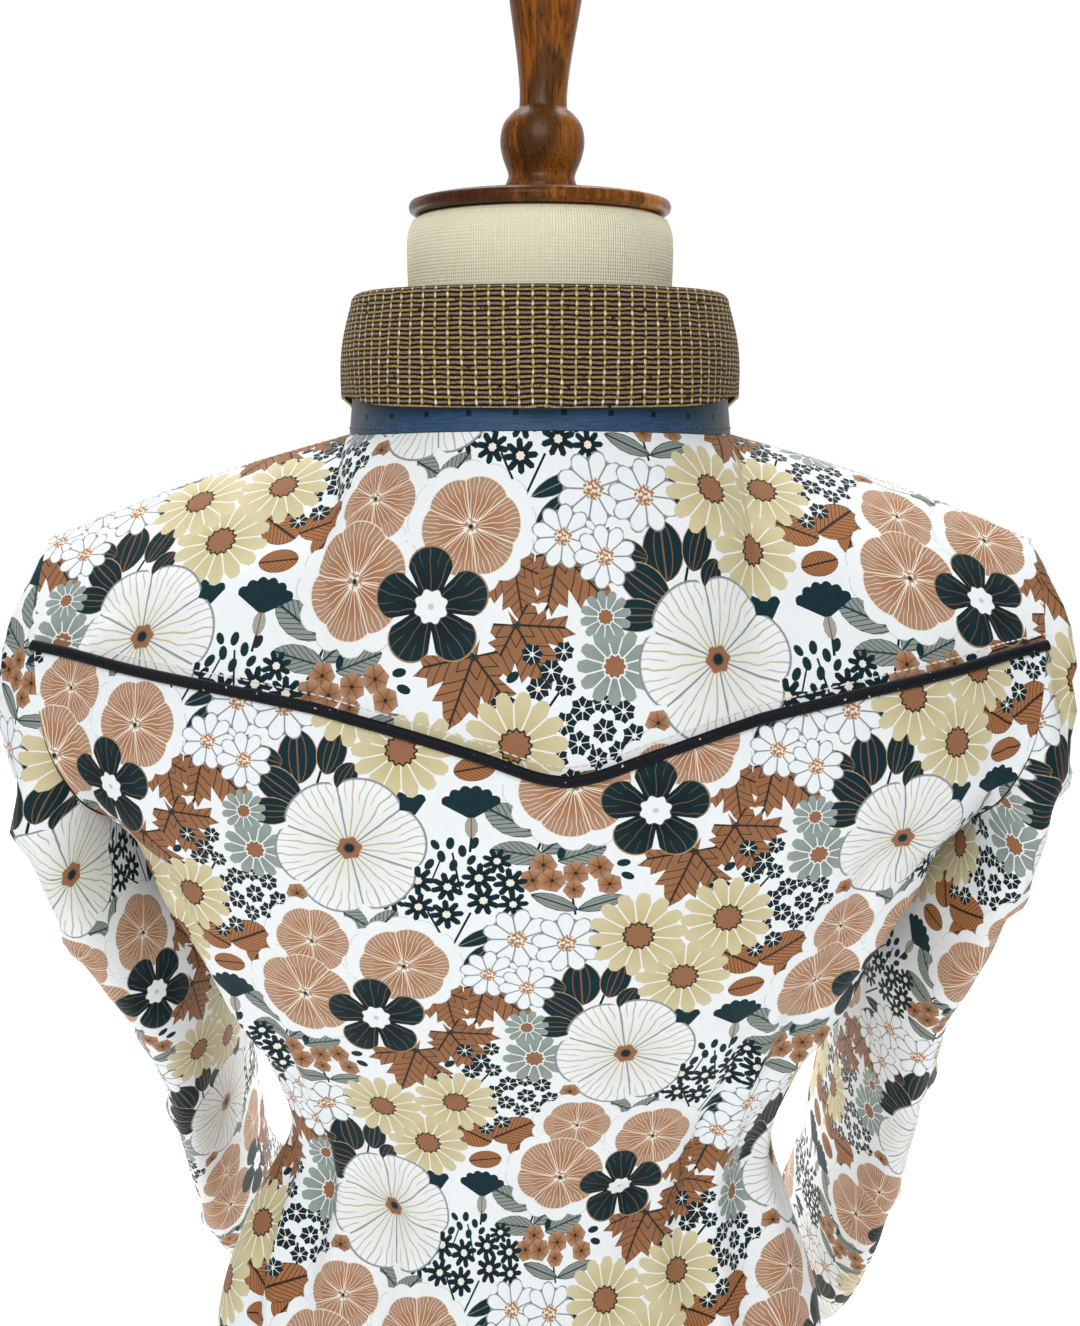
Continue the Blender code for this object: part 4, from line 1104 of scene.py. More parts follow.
def radius_and_turn(mix):
    x, y = mix.place("figure")
    far = mix.math("SQRT", mix.plus(mix.times(x, x), mix.times(y, y)))
    return far, mix.math("ARCTAN2", y, x)


def thin_lines(mix, turn, far, count, width):
    """1 on lines that run out from the middle, as wide at the middle as at the edge."""
    wave = mix.less(1.0, mix.math("COSINE", mix.times(turn, float(count))))
    spread_out = mix.times(wave, mix.times(far, far))
    level = (count * width) ** 2 / 2
    return mix.above(spread_out, level, -0.5 * level)


def flower_ink(name, outer, inner, line=None, lines=0, width=0.012, edge=None, edge_share=0.03, gap=None,
               gap_share=0.05, eye=None, eye_size=0.3, lobes=9, rim=None, dot=None,
               dot_size=0.0, specks=None):
    """A flower's ink. Sizes are shares of its radius: lines run out along the petals, gaps part them,
    the edge follows the outline, and the eye is the middle, with its rim, its specks and its dot."""
    petals, notch, power, _count = PETALS[name]
    mix, normal = sateen("print_" + name)
    far, turn = radius_and_turn(mix)
    x, y = mix.place("figure")
    colour = mix.blend(mix.above(far, 0.6, 0.4), inner, outer)
    petal = mix.math("ABSOLUTE", mix.math("COSINE", mix.times(turn, petals / 2)))
    if lines:
        sway = mix.less(mix.noise(2.6, 1.0, mix.join(x, y)), 0.5)
        swayed = mix.plus(turn, mix.times(sway, 0.22))
        colour = mix.blend(thin_lines(mix, swayed, far, lines, width), colour, line)
        outer_lines = thin_lines(mix, swayed, far, 2 * lines, width * 0.7)
        colour = mix.blend(mix.times(outer_lines, mix.above(far, 0.66, 0.06)), colour, line)
    if gap is not None:
        parting = mix.above(mix.times(petal, far), gap_share, -0.35 * gap_share)
        colour = mix.blend(parting, colour, gap)
    if edge is not None:
        outline = mix.plus(mix.times(mix.math("POWER", petal, power), notch), 1 - notch)
        inside = mix.less(outline, far)
        colour = mix.blend(mix.above(inside, edge_share, -0.4 * edge_share), colour, edge)
    if eye is not None:
        lobe = mix.math("COSINE", mix.times(turn, float(lobes)))
        reach = mix.plus(mix.times(lobe, 0.08 * eye_size), eye_size)
        inside = mix.less(reach, far)
        if rim is not None:
            colour = mix.blend(mix.above(inside, -0.01, 0.012), colour, rim)
        middle = eye
        if specks is not None:
            grain = mix.noise(11.0, 0.0, mix.join(x, y))
            middle = mix.blend(mix.above(grain, 0.52, 0.05), eye, specks)
        colour = mix.blend(mix.above(inside, 0.035, 0.012), colour, middle)
    if dot is not None:
        colour = mix.blend(mix.above(far, dot_size, -0.02), colour, dot)
    return mix.finish(colour, normal)


def leaf_ink(name, power, base, vein, veins, slant, edge, edge_share=0.06, ribs=0.0, width=0.07):
    """A leaf's ink. Veins slant from the midrib, or run along beside it; the edge follows the outline."""
    mix, normal = sateen("print_" + name)
    x, y = mix.place("figure")
    aside = mix.math("ABSOLUTE", y)
    span = mix.less(1.0, mix.times(x, x))
    span = mix.math("POWER", mix.math("MAXIMUM", span, 0.0), power)
    colour = base
    if veins:
        along = mix.less(x, mix.times(aside, slant))
        wave = mix.math("SINE", mix.times(along, veins * math.pi))
        colour = mix.blend(mix.above(wave, 0.86, 0.08), colour, vein)
    if ribs:
        beside = mix.math("ABSOLUTE", mix.less(aside, mix.times(span, ribs)))
        colour = mix.blend(mix.above(beside, 0.024, -0.012), colour, vein)
    colour = mix.blend(mix.above(aside, width, -0.4 * width), colour, vein)
    inside = mix.less(span, aside)
    colour = mix.blend(mix.above(inside, edge_share, -0.4 * edge_share), colour, edge)
    return mix.finish(colour, normal)


def maple_ink(base, vein):
    """A maple leaf's ink: five ribs from its stalk, each with slanted side veins."""
    mix, normal = sateen("print_maple")
    x, y = mix.place("figure")
    low_x = mix.plus(x, 0.38)
    far = mix.math("SQRT", mix.plus(mix.times(low_x, low_x), mix.times(y, y)))
    turn = mix.math("ABSOLUTE", mix.math("ARCTAN2", y, low_x))
    colour = mix.blend(mix.above(far, 0.6, 0.6), tuple(part * 0.86 for part in base), base)
    away = None
    for rib in (0.0, 1.0, 2.1):
        distance = mix.times(mix.math("ABSOLUTE", mix.less(turn, rib)), far)
        away = distance if away is None else mix.math("MINIMUM", away, distance)
    slanted = mix.less(far, mix.times(away, 0.9))
    wave = mix.math("SINE", mix.times(slanted, 34.0))
    colour = mix.blend(mix.above(wave, 0.93, 0.06), colour, vein)
    colour = mix.blend(mix.above(away, 0.022, -0.010), colour, vein)
    return mix.finish(colour, normal)


def make_prints(hues):
    """The inks of the print, which all share the cotton's finish."""
    ground, teal, deep = hues.ground[:], hues.teal[:], hues.deep_teal[:]
    tan, brown, cream, grey = hues.tan[:], hues.brown[:], hues.cream[:], hues.grey[:]
    outline, pale = hues.outline[:], tint("ece7d8")
    mix, normal = sateen("print_ground")
    mix.finish(ground, normal)
    mix, normal = sateen("print_back")
    across, along = mix.place("cloth")
    ghost = mix.above(mix.noise(45.0, 1.0, mix.join(across, along)), 0.55, 0.08)
    mix.finish(mix.blend(ghost, tint("e4e4e0"), tint("c9c8c2")), normal)
    for name, colour in (("stem", deep), ("bud", teal), ("carnation", teal)):
        mix, normal = sateen("print_" + name)
        tone = mix.noise(5.0, 1.0, mix.join(*mix.place("figure")))
        mix.finish(mix.blend(tone, colour, tuple(part * 1.25 for part in colour)), normal)
    flower_ink("poppy", ground, tint("e3e6e4"), line=tint("c4b994"), lines=24, width=0.010, edge=outline,
               edge_share=0.030, gap=outline, gap_share=0.030, eye=brown, eye_size=0.19, lobes=6, dot=teal,
               dot_size=0.07)
    flower_ink("hibiscus", teal, deep, line=tint("6e5238"), lines=15, width=0.008, edge=tint("a58a68"),
               edge_share=0.030, gap=ground, gap_share=0.0, eye=ground, eye_size=0.30, lobes=8,
               dot=tint("c3cac8"), dot_size=0.05)
    flower_ink("cream_daisy", cream, tint("c6b988"), gap=ground, gap_share=0.10, eye=brown, eye_size=0.30,
               lobes=13, rim=tint("33241f"))
    flower_ink("white_daisy", ground, ground, edge=outline, edge_share=0.055, gap=outline, gap_share=0.10,
               eye=tint("ad7a56"), eye_size=0.30, lobes=9, specks=pale)
    flower_ink("grey_daisy", grey, tint("87938d"), gap=ground, gap_share=0.12, eye=brown, eye_size=0.31,
               lobes=10, rim=ground)
    flower_ink("peony", tan, tint("a9744f"), line=pale, lines=30, width=0.0062, edge=pale, edge_share=0.02,
               gap=pale, gap_share=0.035, eye=pale, eye_size=0.19, lobes=7,
               specks=tan, dot=teal, dot_size=0.05)
    flower_ink("halo", ground, ground, edge=tint("c9ced2"), edge_share=0.018)
    flower_ink("umbel_star", teal, deep, eye=pale, eye_size=0.27, lobes=7)
    flower_ink("star_flower", teal, deep, gap=ground, gap_share=0.10, eye=pale, eye_size=0.24, lobes=7)
    flower_ink("brown_flower", tan, tint("99683f"), gap=tint("5d4030"), gap_share=0.08,
               eye=teal, eye_size=0.16, lobes=6, rim=tint("7a4d30"))
    maple_ink(tint("9c6c4a"), tint("2c2a26"))
    dark = tint("26383a")
    leaf_ink("teal_leaf", 0.62, teal, tint("7a5c3e"), 0, 0.0, tint("c2a47c"), 0.06, 0.42, 0.045)
    leaf_ink("grey_leaf", 0.75, tint("8c968f"), dark, 7, 0.8, dark, 0.05)
    leaf_ink("brown_oval", 0.55, tint("a56e46"), tint("33251d"), 9, 0.8, tint("3f3028"), 0.05)
    leaf_ink("striped_leaf", 0.8, tint("8c968f"), dark, 0, 0.0, dark, 0.14, 0.5, 0.10)
    leaf_ink("teal_lens", 0.8, teal, tint("6e7a72"), 0, 0.0, tint("8a9286"), 0.10, 0.0, 0.06)
    leaf_ink("calyx", 0.6, tint("a3aca6"), tint("94683f"), 0, 0.0, tint("6f6a5c"), 0.12, 0.5, 0.14)


def lattice(mix, value, pitch):
    """How far a value lies from the nearest whole step, from -0.5 to 0.5 of the pitch."""
    steps = mix.math("DIVIDE", value, pitch)
    return mix.less(mix.math("FRACT", steps), 0.5)


TWEED_ACROSS = 0.0051
TWEED_ALONG = 0.0034


def make_tweed(hues):
    """Brown tweed: columns of cream nubs, gold beaded lines between their rows, and mauve slubs."""
    mix = Mixer("tweed", 0.9, Sheen_Weight=0.04, Specular_IOR_Level=0.1)
    across, along = mix.place("cloth")
    flat = mix.join(across, along)
    sway = mix.times(mix.less(mix.noise(150.0, 2.0, flat), 0.5), 0.0011)
    u = mix.math("ABSOLUTE", lattice(mix, mix.plus(across, sway), TWEED_ACROSS))
    v = mix.math("ABSOLUTE", lattice(mix, mix.plus(along, sway), TWEED_ALONG))
    turn = mix.times(across, 6 * math.pi / TWEED_ACROSS)
    bead = mix.math("SINE", mix.times(turn, 2.0))
    dash = mix.above(u, 0.13, 0.04)
    fuzz = mix.noise(1500.0, 2.0, flat)
    uneven = mix.noise(330.0, 2.0, flat)
    slub = mix.times(dash, mix.above(v, 0.13, -0.05))
    colour = mix.blend(slub, hues.tweed[:], hues.mauve[:])
    pick = mix.plus(v, mix.times(bead, 0.025))
    link = mix.above(mix.math("COSINE", mix.times(turn, 2.0)), -0.7, 0.35)
    gold = mix.times(mix.above(pick, 0.385, 0.035), mix.times(link, mix.above(uneven, 0.35, 0.1)))
    colour = mix.blend(gold, colour, tint("ceb26e"))
    column = mix.times(mix.above(u, 0.070, -0.025), mix.above(uneven, 0.36, 0.1))
    colour = mix.blend(mix.times(column, 0.8), colour, tint("b99d5c"))
    wide, tall = mix.math("DIVIDE", u, 0.125), mix.math("DIVIDE", v, 0.28)
    far = mix.math("SQRT", mix.plus(mix.times(wide, wide), mix.times(tall, tall)))
    nub = mix.above(far, 0.85, -0.22)
    colour = mix.blend(nub, colour, mix.blend(mix.above(uneven, 0.5, 0.15), tint("dcc684"), tint("fbf3cc")))
    colour = mix.blend(mix.times(mix.above(fuzz, 0.52, 0.14), 0.4), colour, tint("20120d"))
    height = mix.plus(nub, mix.times(mix.plus(gold, slub), 0.5))
    height = mix.plus(height, mix.times(fuzz, 0.5))
    return mix.finish(colour, mix.bump(height, 0.0007, 0.9))


SILK_DOT_PITCH = 0.017
SILK_DOT = 0.0010
SILK_DOT_LEVEL = 0.0062


def make_silk(hues):
    """Navy silk with a cross weave, painted olive sheen toward its sides, and small woven squares in a row.
    """
    mix = Mixer("silk_weave", 0.5, Sheen_Weight=0.08, Sheen_Roughness=0.4, Specular_IOR_Level=0.3)
    across, along = mix.place("cloth")
    rib = mix.math("SINE", mix.times(along, 2 * math.pi / 0.0005))
    slub = mix.noise(1.0, 2.0, mix.join(mix.times(across, 160.0), mix.times(along, 1900.0)))
    base = mix.blend(mix.above(slub, 0.5, 0.2), hues.silk[:], tint("2f5273"))
    # Painted sheen: the silk turns olive toward the stand's sides, where it faces away from the view.
    side = mix.above(mix.math("ABSOLUTE", across), 0.072, 0.024)
    base = mix.blend(mix.times(side, 0.75), base, tint("3f453f"))
    u = mix.times(lattice(mix, across, SILK_DOT_PITCH), SILK_DOT_PITCH)
    v = mix.less(along, SILK_DOT_LEVEL)
    square = mix.math("MAXIMUM", mix.math("ABSOLUTE", u), mix.math("ABSOLUTE", v))
    colour = mix.blend(mix.above(square, SILK_DOT, -0.0002), base, tint("060b16"))
    height = mix.plus(mix.times(rib, 0.5), slub)
    soft = mix.bump(mix.noise(40.0, 2.0, mix.join(across, along)), 0.0015, 0.5)
    return mix.finish(colour, mix.bump(height, 0.00006, 0.7, soft))


def make_cord_finish(hues):
    """Black-navy twisted cord, painted darker in the grooves of its twist, with a few bright specks."""
    mix = Mixer("cord_twist", 0.55, Specular_IOR_Level=0.2)
    across, along = mix.place("cloth")
    twist = mix.plus(mix.times(across, 2 * math.pi / 0.0010), mix.times(along, 2 * math.pi))
    ply = mix.math("SINE", twist)
    speck = mix.above(mix.noise(520.0, 1.0), 0.76, 0.02)
    # Painted shade: the cord is darker where its twist is low, in the grooves between the plies.
    colour = mix.blend(mix.above(ply, 0.0, 1.2), tint("04070d"), hues.cord[:])
    colour = mix.blend(speck, colour, tint("d9c89a"))
    return mix.finish(colour, mix.bump(ply, 0.0001, 0.6))


def make_linen(hues):
    """Cream knit linen with fine upright ribs, painted shade between them, and a few slubs."""
    mix = Mixer("linen_knit", 0.85, Sheen_Weight=0.1, Sheen_Roughness=0.6)
    across, along = mix.place("cloth")
    rib = mix.math("SINE", mix.times(across, 2 * math.pi / 0.0010))
    loop = mix.math("SINE", mix.times(along, 2 * math.pi / 0.0012))
    slub = mix.noise(1.0, 3.0, mix.join(mix.times(across, 700.0), mix.times(along, 90.0)))
    colour = mix.blend(slub, hues.linen[:], tint("f3ebc9"))
    # Painted shade: the knit is darker in the troughs between its ribs.
    colour = mix.blend(mix.times(mix.above(rib, -0.5, -0.4), 0.25), colour, tint("d8cca2"))
    height = mix.plus(rib, mix.times(loop, 0.4))
    height = mix.plus(height, slub)
    return mix.finish(colour, mix.bump(height, 0.00022, 0.8))


def make_wood(hues):
    """Orange-brown turned wood, dark stain in its grain, painted shade on its -x side, under a worn varnish.
    """
    mix = Mixer("wood_grain", 0.45, Specular_IOR_Level=0.2)
    apart = mix.node("ShaderNodeSeparateXYZ")
    mix.tree.links.new(mix.node("ShaderNodeTexCoord").outputs["Object"], apart.inputs[0])
    x, y, z = apart.outputs

    def streaks(across, along, detail):
        sides = [mix.times(part, across) for part in (x, y)]
        return mix.noise(1.0, detail, mix.join(*sides, mix.times(z, along)))

    grain = streaks(520.0, 22.0, 4.0)
    blotch = streaks(46.0, 13.0, 3.0)
    fine = streaks(1500.0, 60.0, 2.0)
    colour = mix.blend(mix.above(grain, 0.5, 0.09), hues.wood[:], tint("8f5012"))
    colour = mix.blend(mix.above(blotch, 0.57, 0.07), colour, tint("b8742a"))
    # Dark stain in the blotches, and painted shade that grows toward -x, the wood's left side.
    stain_and_left_shade = mix.above(mix.plus(blotch, mix.times(x, -6.0)), 0.54, 0.05)
    colour = mix.blend(mix.times(stain_and_left_shade, 0.8), colour, tint("291204"))
    pore = mix.above(fine, 0.58, 0.06)
    colour = mix.blend(mix.times(pore, 0.65), colour, tint("1e0d04"))
    rough = mix.plus(mix.times(blotch, 0.25), 0.22)
    return mix.finish(colour, mix.bump(grain, 0.0002, 0.6), Roughness=rough)


def make_thread(name, roughness, light, dark):
    """Topstitching thread, with its twist as a fine bump."""
    mix = Mixer(name, roughness, Sheen_Weight=0.3)
    fibre = mix.noise(4000.0, 2.0)
    colour = mix.blend(fibre, tint(light), tint(dark))
    return mix.finish(colour, mix.bump(fibre, 0.0001, 0.6))


def make_pearl():
    """A pearl cap inside a bright metal rim, told apart by distance from the snap's middle."""
    mix = Mixer("pearl_snap", 0.22, Coat_Weight=0.6, Coat_Roughness=0.08)
    share, _turn = mix.place("snap")
    swirl = mix.noise(420.0, 3.0)
    pearl = mix.blend(swirl, tint("f2efe8"), tint("c9ccd2"))
    rim = mix.above(share, 0.80, 0.01)
    colour = mix.blend(rim, pearl, tint("b9bcc0"))
    rough = mix.plus(mix.times(rim, 0.06), 0.2)
    return mix.finish(colour, mix.bump(swirl, 0.0001, 0.3), Metallic=rim, Roughness=rough)


def half_shares(neck_count, shoulder_count):
    """Shares from the centre line (0) to the side seam (1), with one on the neck's side point."""
    neck = spread(0, NECK_SHARE, neck_count)
    return np.concatenate((neck, spread(NECK_SHARE, 1, shoulder_count)[1:]))


NECK_COLUMNS = 34
SHOULDER_COLUMNS = 42
SHARES = half_shares(NECK_COLUMNS, SHOULDER_COLUMNS)
LOW_ROWS = 180
BODY_ROWS = 24
YOKE_ROWS = 44
FRONT_ROWS = 64

# The creases of the back, in metres across from its centre and along from the chest line: both ends,
# the bow to one side, the half width and the height.
CREASE = "x0 y0 x1 y1 bow width height"
BACK_FOLDS = table(
    CREASE,
    (0.092, -0.045, 0.082, -0.24, 0.004, 0.006, 0.0046),
    (-0.1, -0.055, -0.086, -0.24, -0.004, 0.006, 0.0046),
    (0.118, -0.12, 0.108, -0.33, 0.004, 0.0075, 0.0053),
    (-0.116, -0.125, -0.112, -0.32, -0.003, 0.0075, 0.0053),
    (0.06, -0.13, 0.056, -0.26, 0.003, 0.008, 0.0034),
    (-0.058, -0.128, -0.05, -0.27, -0.003, 0.008, 0.0034),
    (0.165, 0, 0.105, -0.1, 0.008, 0.011, 0.0038),
    (-0.168, -0.004, -0.11, -0.104, -0.009, 0.011, 0.0038),
    (0.15, -0.06, 0.085, -0.128, 0.006, 0.009, 0.0033),
    (-0.15, -0.055, -0.09, -0.125, -0.006, 0.009, 0.0033),
    (-0.088, -0.148, 0.01, -0.156, 0.005, 0.0085, 0.0025),
    (-0.02, -0.138, 0.082, -0.15, -0.005, 0.0085, 0.0025),
    (0.02, -0.2, 0.034, -0.4, 0.006, 0.013, 0.0034),
    (-0.03, -0.21, -0.04, -0.41, -0.006, 0.013, 0.0034),
    (0.155, 0.03, 0.12, -0.04, 0.004, 0.009, 0.003),
    (-0.158, 0.028, -0.12, -0.044, -0.005, 0.009, 0.003),
)
YOKE_FOLDS = table(
    CREASE,
    (0.04, 0.15, 0.13, 0.11, 0.006, 0.012, 0.0021),
    (-0.05, 0.148, -0.13, 0.104, -0.006, 0.012, 0.0021),
    (0.165, 0.095, 0.192, 0.072, 0.003, 0.007, 0.0022),
    (-0.165, 0.092, -0.192, 0.07, -0.003, 0.007, 0.0022),
)
FRONT_FOLDS = table(
    CREASE,
    (-0.15, 0, -0.07, -0.1, 0.008, 0.011, 0.0038),
    (0.15, 0, 0.072, -0.104, -0.008, 0.011, 0.0038),
    (-0.12, -0.1, -0.04, -0.14, 0.006, 0.009, 0.003),
    (0.122, -0.104, 0.04, -0.144, -0.006, 0.009, 0.003),
    (-0.07, -0.16, -0.08, -0.36, 0.005, 0.011, 0.0042),
    (0.072, -0.165, 0.084, -0.37, -0.005, 0.011, 0.0042),
    (-0.12, 0.07, -0.06, 0.02, 0.006, 0.01, 0.0026),
    (0.122, 0.068, 0.06, 0.02, -0.006, 0.01, 0.0026),
)
SLEEVE_FOLDS = table(
    CREASE,
    (-0.02, -0.004, -0.05, -0.06, 0.004, 0.007, 0.0042),
    (0.02, -0.006, 0.046, -0.07, -0.004, 0.007, 0.0042),
    (-0.06, -0.06, 0.01, -0.095, 0.008, 0.009, 0.0053),
    (0.07, -0.07, 0, -0.12, -0.008, 0.009, 0.0049),
    (-0.065, -0.11, 0.005, -0.15, 0.007, 0.0085, 0.0046),
    (0.066, -0.13, 0.004, -0.172, -0.007, 0.0085, 0.0046),
    (-0.05, -0.19, 0.03, -0.205, 0.006, 0.0075, 0.0049),
    (0.052, -0.212, -0.022, -0.232, -0.006, 0.0075, 0.0053),
    (-0.052, -0.236, 0.028, -0.25, 0.006, 0.0075, 0.0046),
    (0.05, -0.262, -0.024, -0.282, -0.006, 0.008, 0.0038),
    (-0.045, -0.31, 0.02, -0.345, 0.006, 0.009, 0.0034),
    (0.045, -0.35, -0.02, -0.392, -0.006, 0.009, 0.0034),
)

# Rows of the sleeve's cap, and how far its cloth dips into the armhole seam.
CAP_ROWS = 24
SEAM_DIP = 0.0010
SEAM_REACH = 0.0030

# Where one poppy of the print lies on each piece, across and along.
BACK_PRINT = (-0.064, 0.016)
YOKE_PRINT = (0.063, 0.083)
FRONT_PRINT = (0.050, -0.020)
SLEEVE_PRINT = {-1: (-0.020, -0.035), 1: (0.055, -0.018)}
# The yoke is cut with its print this much larger.
YOKE_SCALE = 1.12
CUFF_PRINT = (0.010, -0.010)


def back_cloths():
    """The back body and the yoke, whose flat sizes run on from one to the other."""
    columns = np.concatenate((-SHARES[:0:-1], SHARES))
    edges = yoke_rises(columns)
    low = np.repeat(spread(0, 1, LOW_ROWS)[:-1, None], len(columns), axis=1)
    high = 1 + (edges - 1) * spread(0, 1, BODY_ROWS)[:, None]
    middle = len(columns) // 2
    body = make_cloth(
        shirt_points(columns, np.concatenate((low, high))),
        np.array((0, -1.0, 0)),
        LOW_ROWS,
        middle,
        BACK_FOLDS,
        relax=(4, 2500),
    )
    rises = edges + (2 - edges) * spread(0, 1, YOKE_ROWS)[:, None]
    yoke = make_cloth(
        shirt_points(columns, rises), np.array((0, -1.0, 0.5)), 0, middle, YOKE_FOLDS, body.along[-1],
        relax=(2, 2500),
    )
    return columns, body, yoke


def front_rises():
    return np.concatenate((spread(0, 1, LOW_ROWS)[:-1], spread(1, 2, FRONT_ROWS)))[:, None]


def front_cloth(side):
    columns = 2 - SHARES[::-1]
    columns[0] = FRONT_SIDE
    if side < 0:
        columns = -columns[::-1]
    middle = len(columns) - 1 if side > 0 else 0
    face = shirt_points(columns, front_rises())
    return make_cloth(face, np.array((0, 1.0, 0)), LOW_ROWS, middle, FRONT_FOLDS, relax=(4, 2500))


def placket_cloth():
    """The band down the centre front."""
    rises = front_rises()
    reach = np.linalg.norm((shirt_points(2, rises) - shirt_points(1.9, rises))[..., :2], axis=-1) / 0.1
    across = spread(PLACKET_HALF_WIDTH, -PLACKET_HALF_WIDTH, 12)
    quarter = 2 - np.abs(across) / reach
    face = shirt_points(np.where(across < 0, -quarter, quarter), rises)
    return make_cloth(face, np.array((0, 1.0, 0)), LOW_ROWS, 6, None, None, LAP_LIFT)


def sleeve_cloth(rows, side):
    """A sleeve, rolled from its underarm seam over the top and back."""
    angle = spread(math.pi, 3 * math.pi, 112)
    if side > 0:
        angle = angle[::-1]
    place = np.concatenate((spread(0, 1, CAP_ROWS)[:-1], spread(1, 1 + rows["step"][-1], 168)))
    grid_angle, grid_place = np.meshgrid(angle, place)
    face = sleeve_points(rows, grid_angle, grid_place) * (side, 1, 1)
    plain = make_cloth(face, face - face.mean(axis=1, keepdims=True), CAP_ROWS, len(angle) // 2)
    along = -plain.along
    across = plain.across
    across[:CAP_ROWS] = across[CAP_ROWS]
    folds = fold_lift(SLEEVE_FOLDS, across, along - along[0, len(angle) // 2])
    ends = ease(0.0, 0.012, along[0] - along) * (1 - ease(-0.012, 0.0, along[-1] - along))
    edge = SEAM_DIP * np.exp(-((along[0] - along) / SEAM_REACH) ** 2)
    face = plain.face + plain.normal * (folds * ends - edge)[..., None]
    return Cloth(face, grid_normals(face, plain.normal), across, along)


def cuff_cloth(rows, side):
    share = spread(0, 1 + CUFF_OVERLAP, 100)
    if side > 0:
        share = share[::-1]
    grid_share, grid_drop = np.meshgrid(share, spread(0, 1, 26))
    face = cuff_points(rows, grid_share, grid_drop) * (side, 1, 1)
    cloth = make_cloth(face, face - face.mean(axis=1, keepdims=True), 0, len(share) // 2)
    return Cloth(cloth.face, cloth.normal, cloth.across, -cloth.along)


def band_cloth(points, shares, heights):
    """A collar piece on a grid of shares round the neck and heights or falls."""
    grid_share, grid_height = np.meshgrid(shares, heights)
    face = points(grid_share, grid_height)
    outward = face * (1, 1, 0)
    return make_cloth(face, outward, 0, len(shares) // 2)


def mesh_object(name, points, faces, material, uvs=None):
    """An object of these points and faces, smooth, with a UV map if it is given one value a corner."""
    mesh = bpy.data.meshes.new(name)
    mesh.from_pydata([tuple(point) for point in points], [], faces)
    for key, values in (uvs or {}).items():
        mesh.uv_layers.new(name=key).data.foreach_set("uv", np.asarray(values, np.float32).ravel())
    mesh.materials.append(material)
    mesh.shade_smooth()
    mesh.set_sharp_from_angle(angle=math.radians(38))
    return add_object(name, mesh)


def tube_object(name, rings, run, material, width=None):
    """A closed tube through rings of points, with its length and its turn as a UV map.

    With a width, the map holds how far round it each corner lies, and then its length.
    """
    round_width = width or 1
    count, sides = rings.shape[:2]
    points = rings.reshape(-1, 3)
    faces = [list(range(sides))[::-1], [(count - 1) * sides + side for side in range(sides)]]
    uvs = [(run[0], 0)] * sides + [(run[-1], 0)] * sides
    for place in range(count - 1):
        for side in range(sides):
            after = (side + 1) % sides
            low, high = place * sides, (place + 1) * sides
            faces.append([low + side, low + after, high + after, high + side])
            near, far = round_width * side / sides, round_width * (side + 1) / sides
            start, end = run[place], run[place + 1]
            uvs += [(start, near), (start, far), (end, far), (end, near)]
    if width is not None:
        uvs = [corner[::-1] for corner in uvs]
    thing = mesh_object(name, points, faces, material, {"cloth": uvs})
    outward_faces(thing)
    return thing


def outward_faces(thing):
    """Turns a closed mesh's faces outward."""
    form = bmesh.new()
    form.from_mesh(thing.data)
    bmesh.ops.recalc_face_normals(form, faces=form.faces)
    form.to_mesh(thing.data)
    form.free()


def smooth_profile(rows, count):
    """A turned profile on a smooth curve through its rows."""
    radius, z = rows["radius"], rows["z"]
    run = np.concatenate(([0], np.cumsum(np.hypot(np.diff(radius), np.diff(z)))))
    curve = {"run": run, "radius": radius, "z": z}
    places = np.sort(np.concatenate((spread(0, run[-1], count), run[1:-1])))
    places = places[np.concatenate(([True], np.diff(places) > 1e-5))]
    return np.maximum(read(curve, "radius", places), 0), read(curve, "z", places)


def turned_object(name, radius, z, sides, material, foot=(0, 0, 0), lean=0.0, uv_width=None):
    """A profile turned round Z, with its ends closed on the axis."""
    angle = spread(0, 2 * math.pi, sides)[:-1]
    cos, sin = np.cos(angle), np.sin(angle)
    inner = slice(1, -1)
    rings = vectors(radius[inner, None] * cos, radius[inner, None] * sin, z[inner, None])
    points = np.concatenate((rings.reshape(-1, 3), [(0, 0, z[0]), (0, 0, z[-1])]))
    count = len(rings)
    faces, shares = [], []
    levels = (np.arange(len(radius)) / (len(radius) - 1))[inner]
    for side in range(sides):
        after = (side + 1) % sides
        faces.append([count * sides, after, side])
        faces.append([count * sides + 1, (count - 1) * sides + side, (count - 1) * sides + after])
        shares += [(0, 0), (levels[0], 0), (levels[0], 0), (1, 0), (levels[-1], 0), (levels[-1], 0)]
        for place in range(count - 1):
            low, high = place * sides, (place + 1) * sides
            faces.append([low + side, low + after, high + after, high + side])
            shares += [(levels[place], 0), (levels[place], 0), (levels[place + 1], 0), (levels[place + 1], 0)]
    cos_lean, sin_lean = math.cos(lean), math.sin(lean)
    x = points[:, 0] * cos_lean + points[:, 2] * sin_lean
    height = points[:, 2] * cos_lean - points[:, 0] * sin_lean
    points = np.stack((x, points[:, 1], height), axis=-1) + foot
    return mesh_object(name, points, faces, material, {uv_width or "turned": shares})


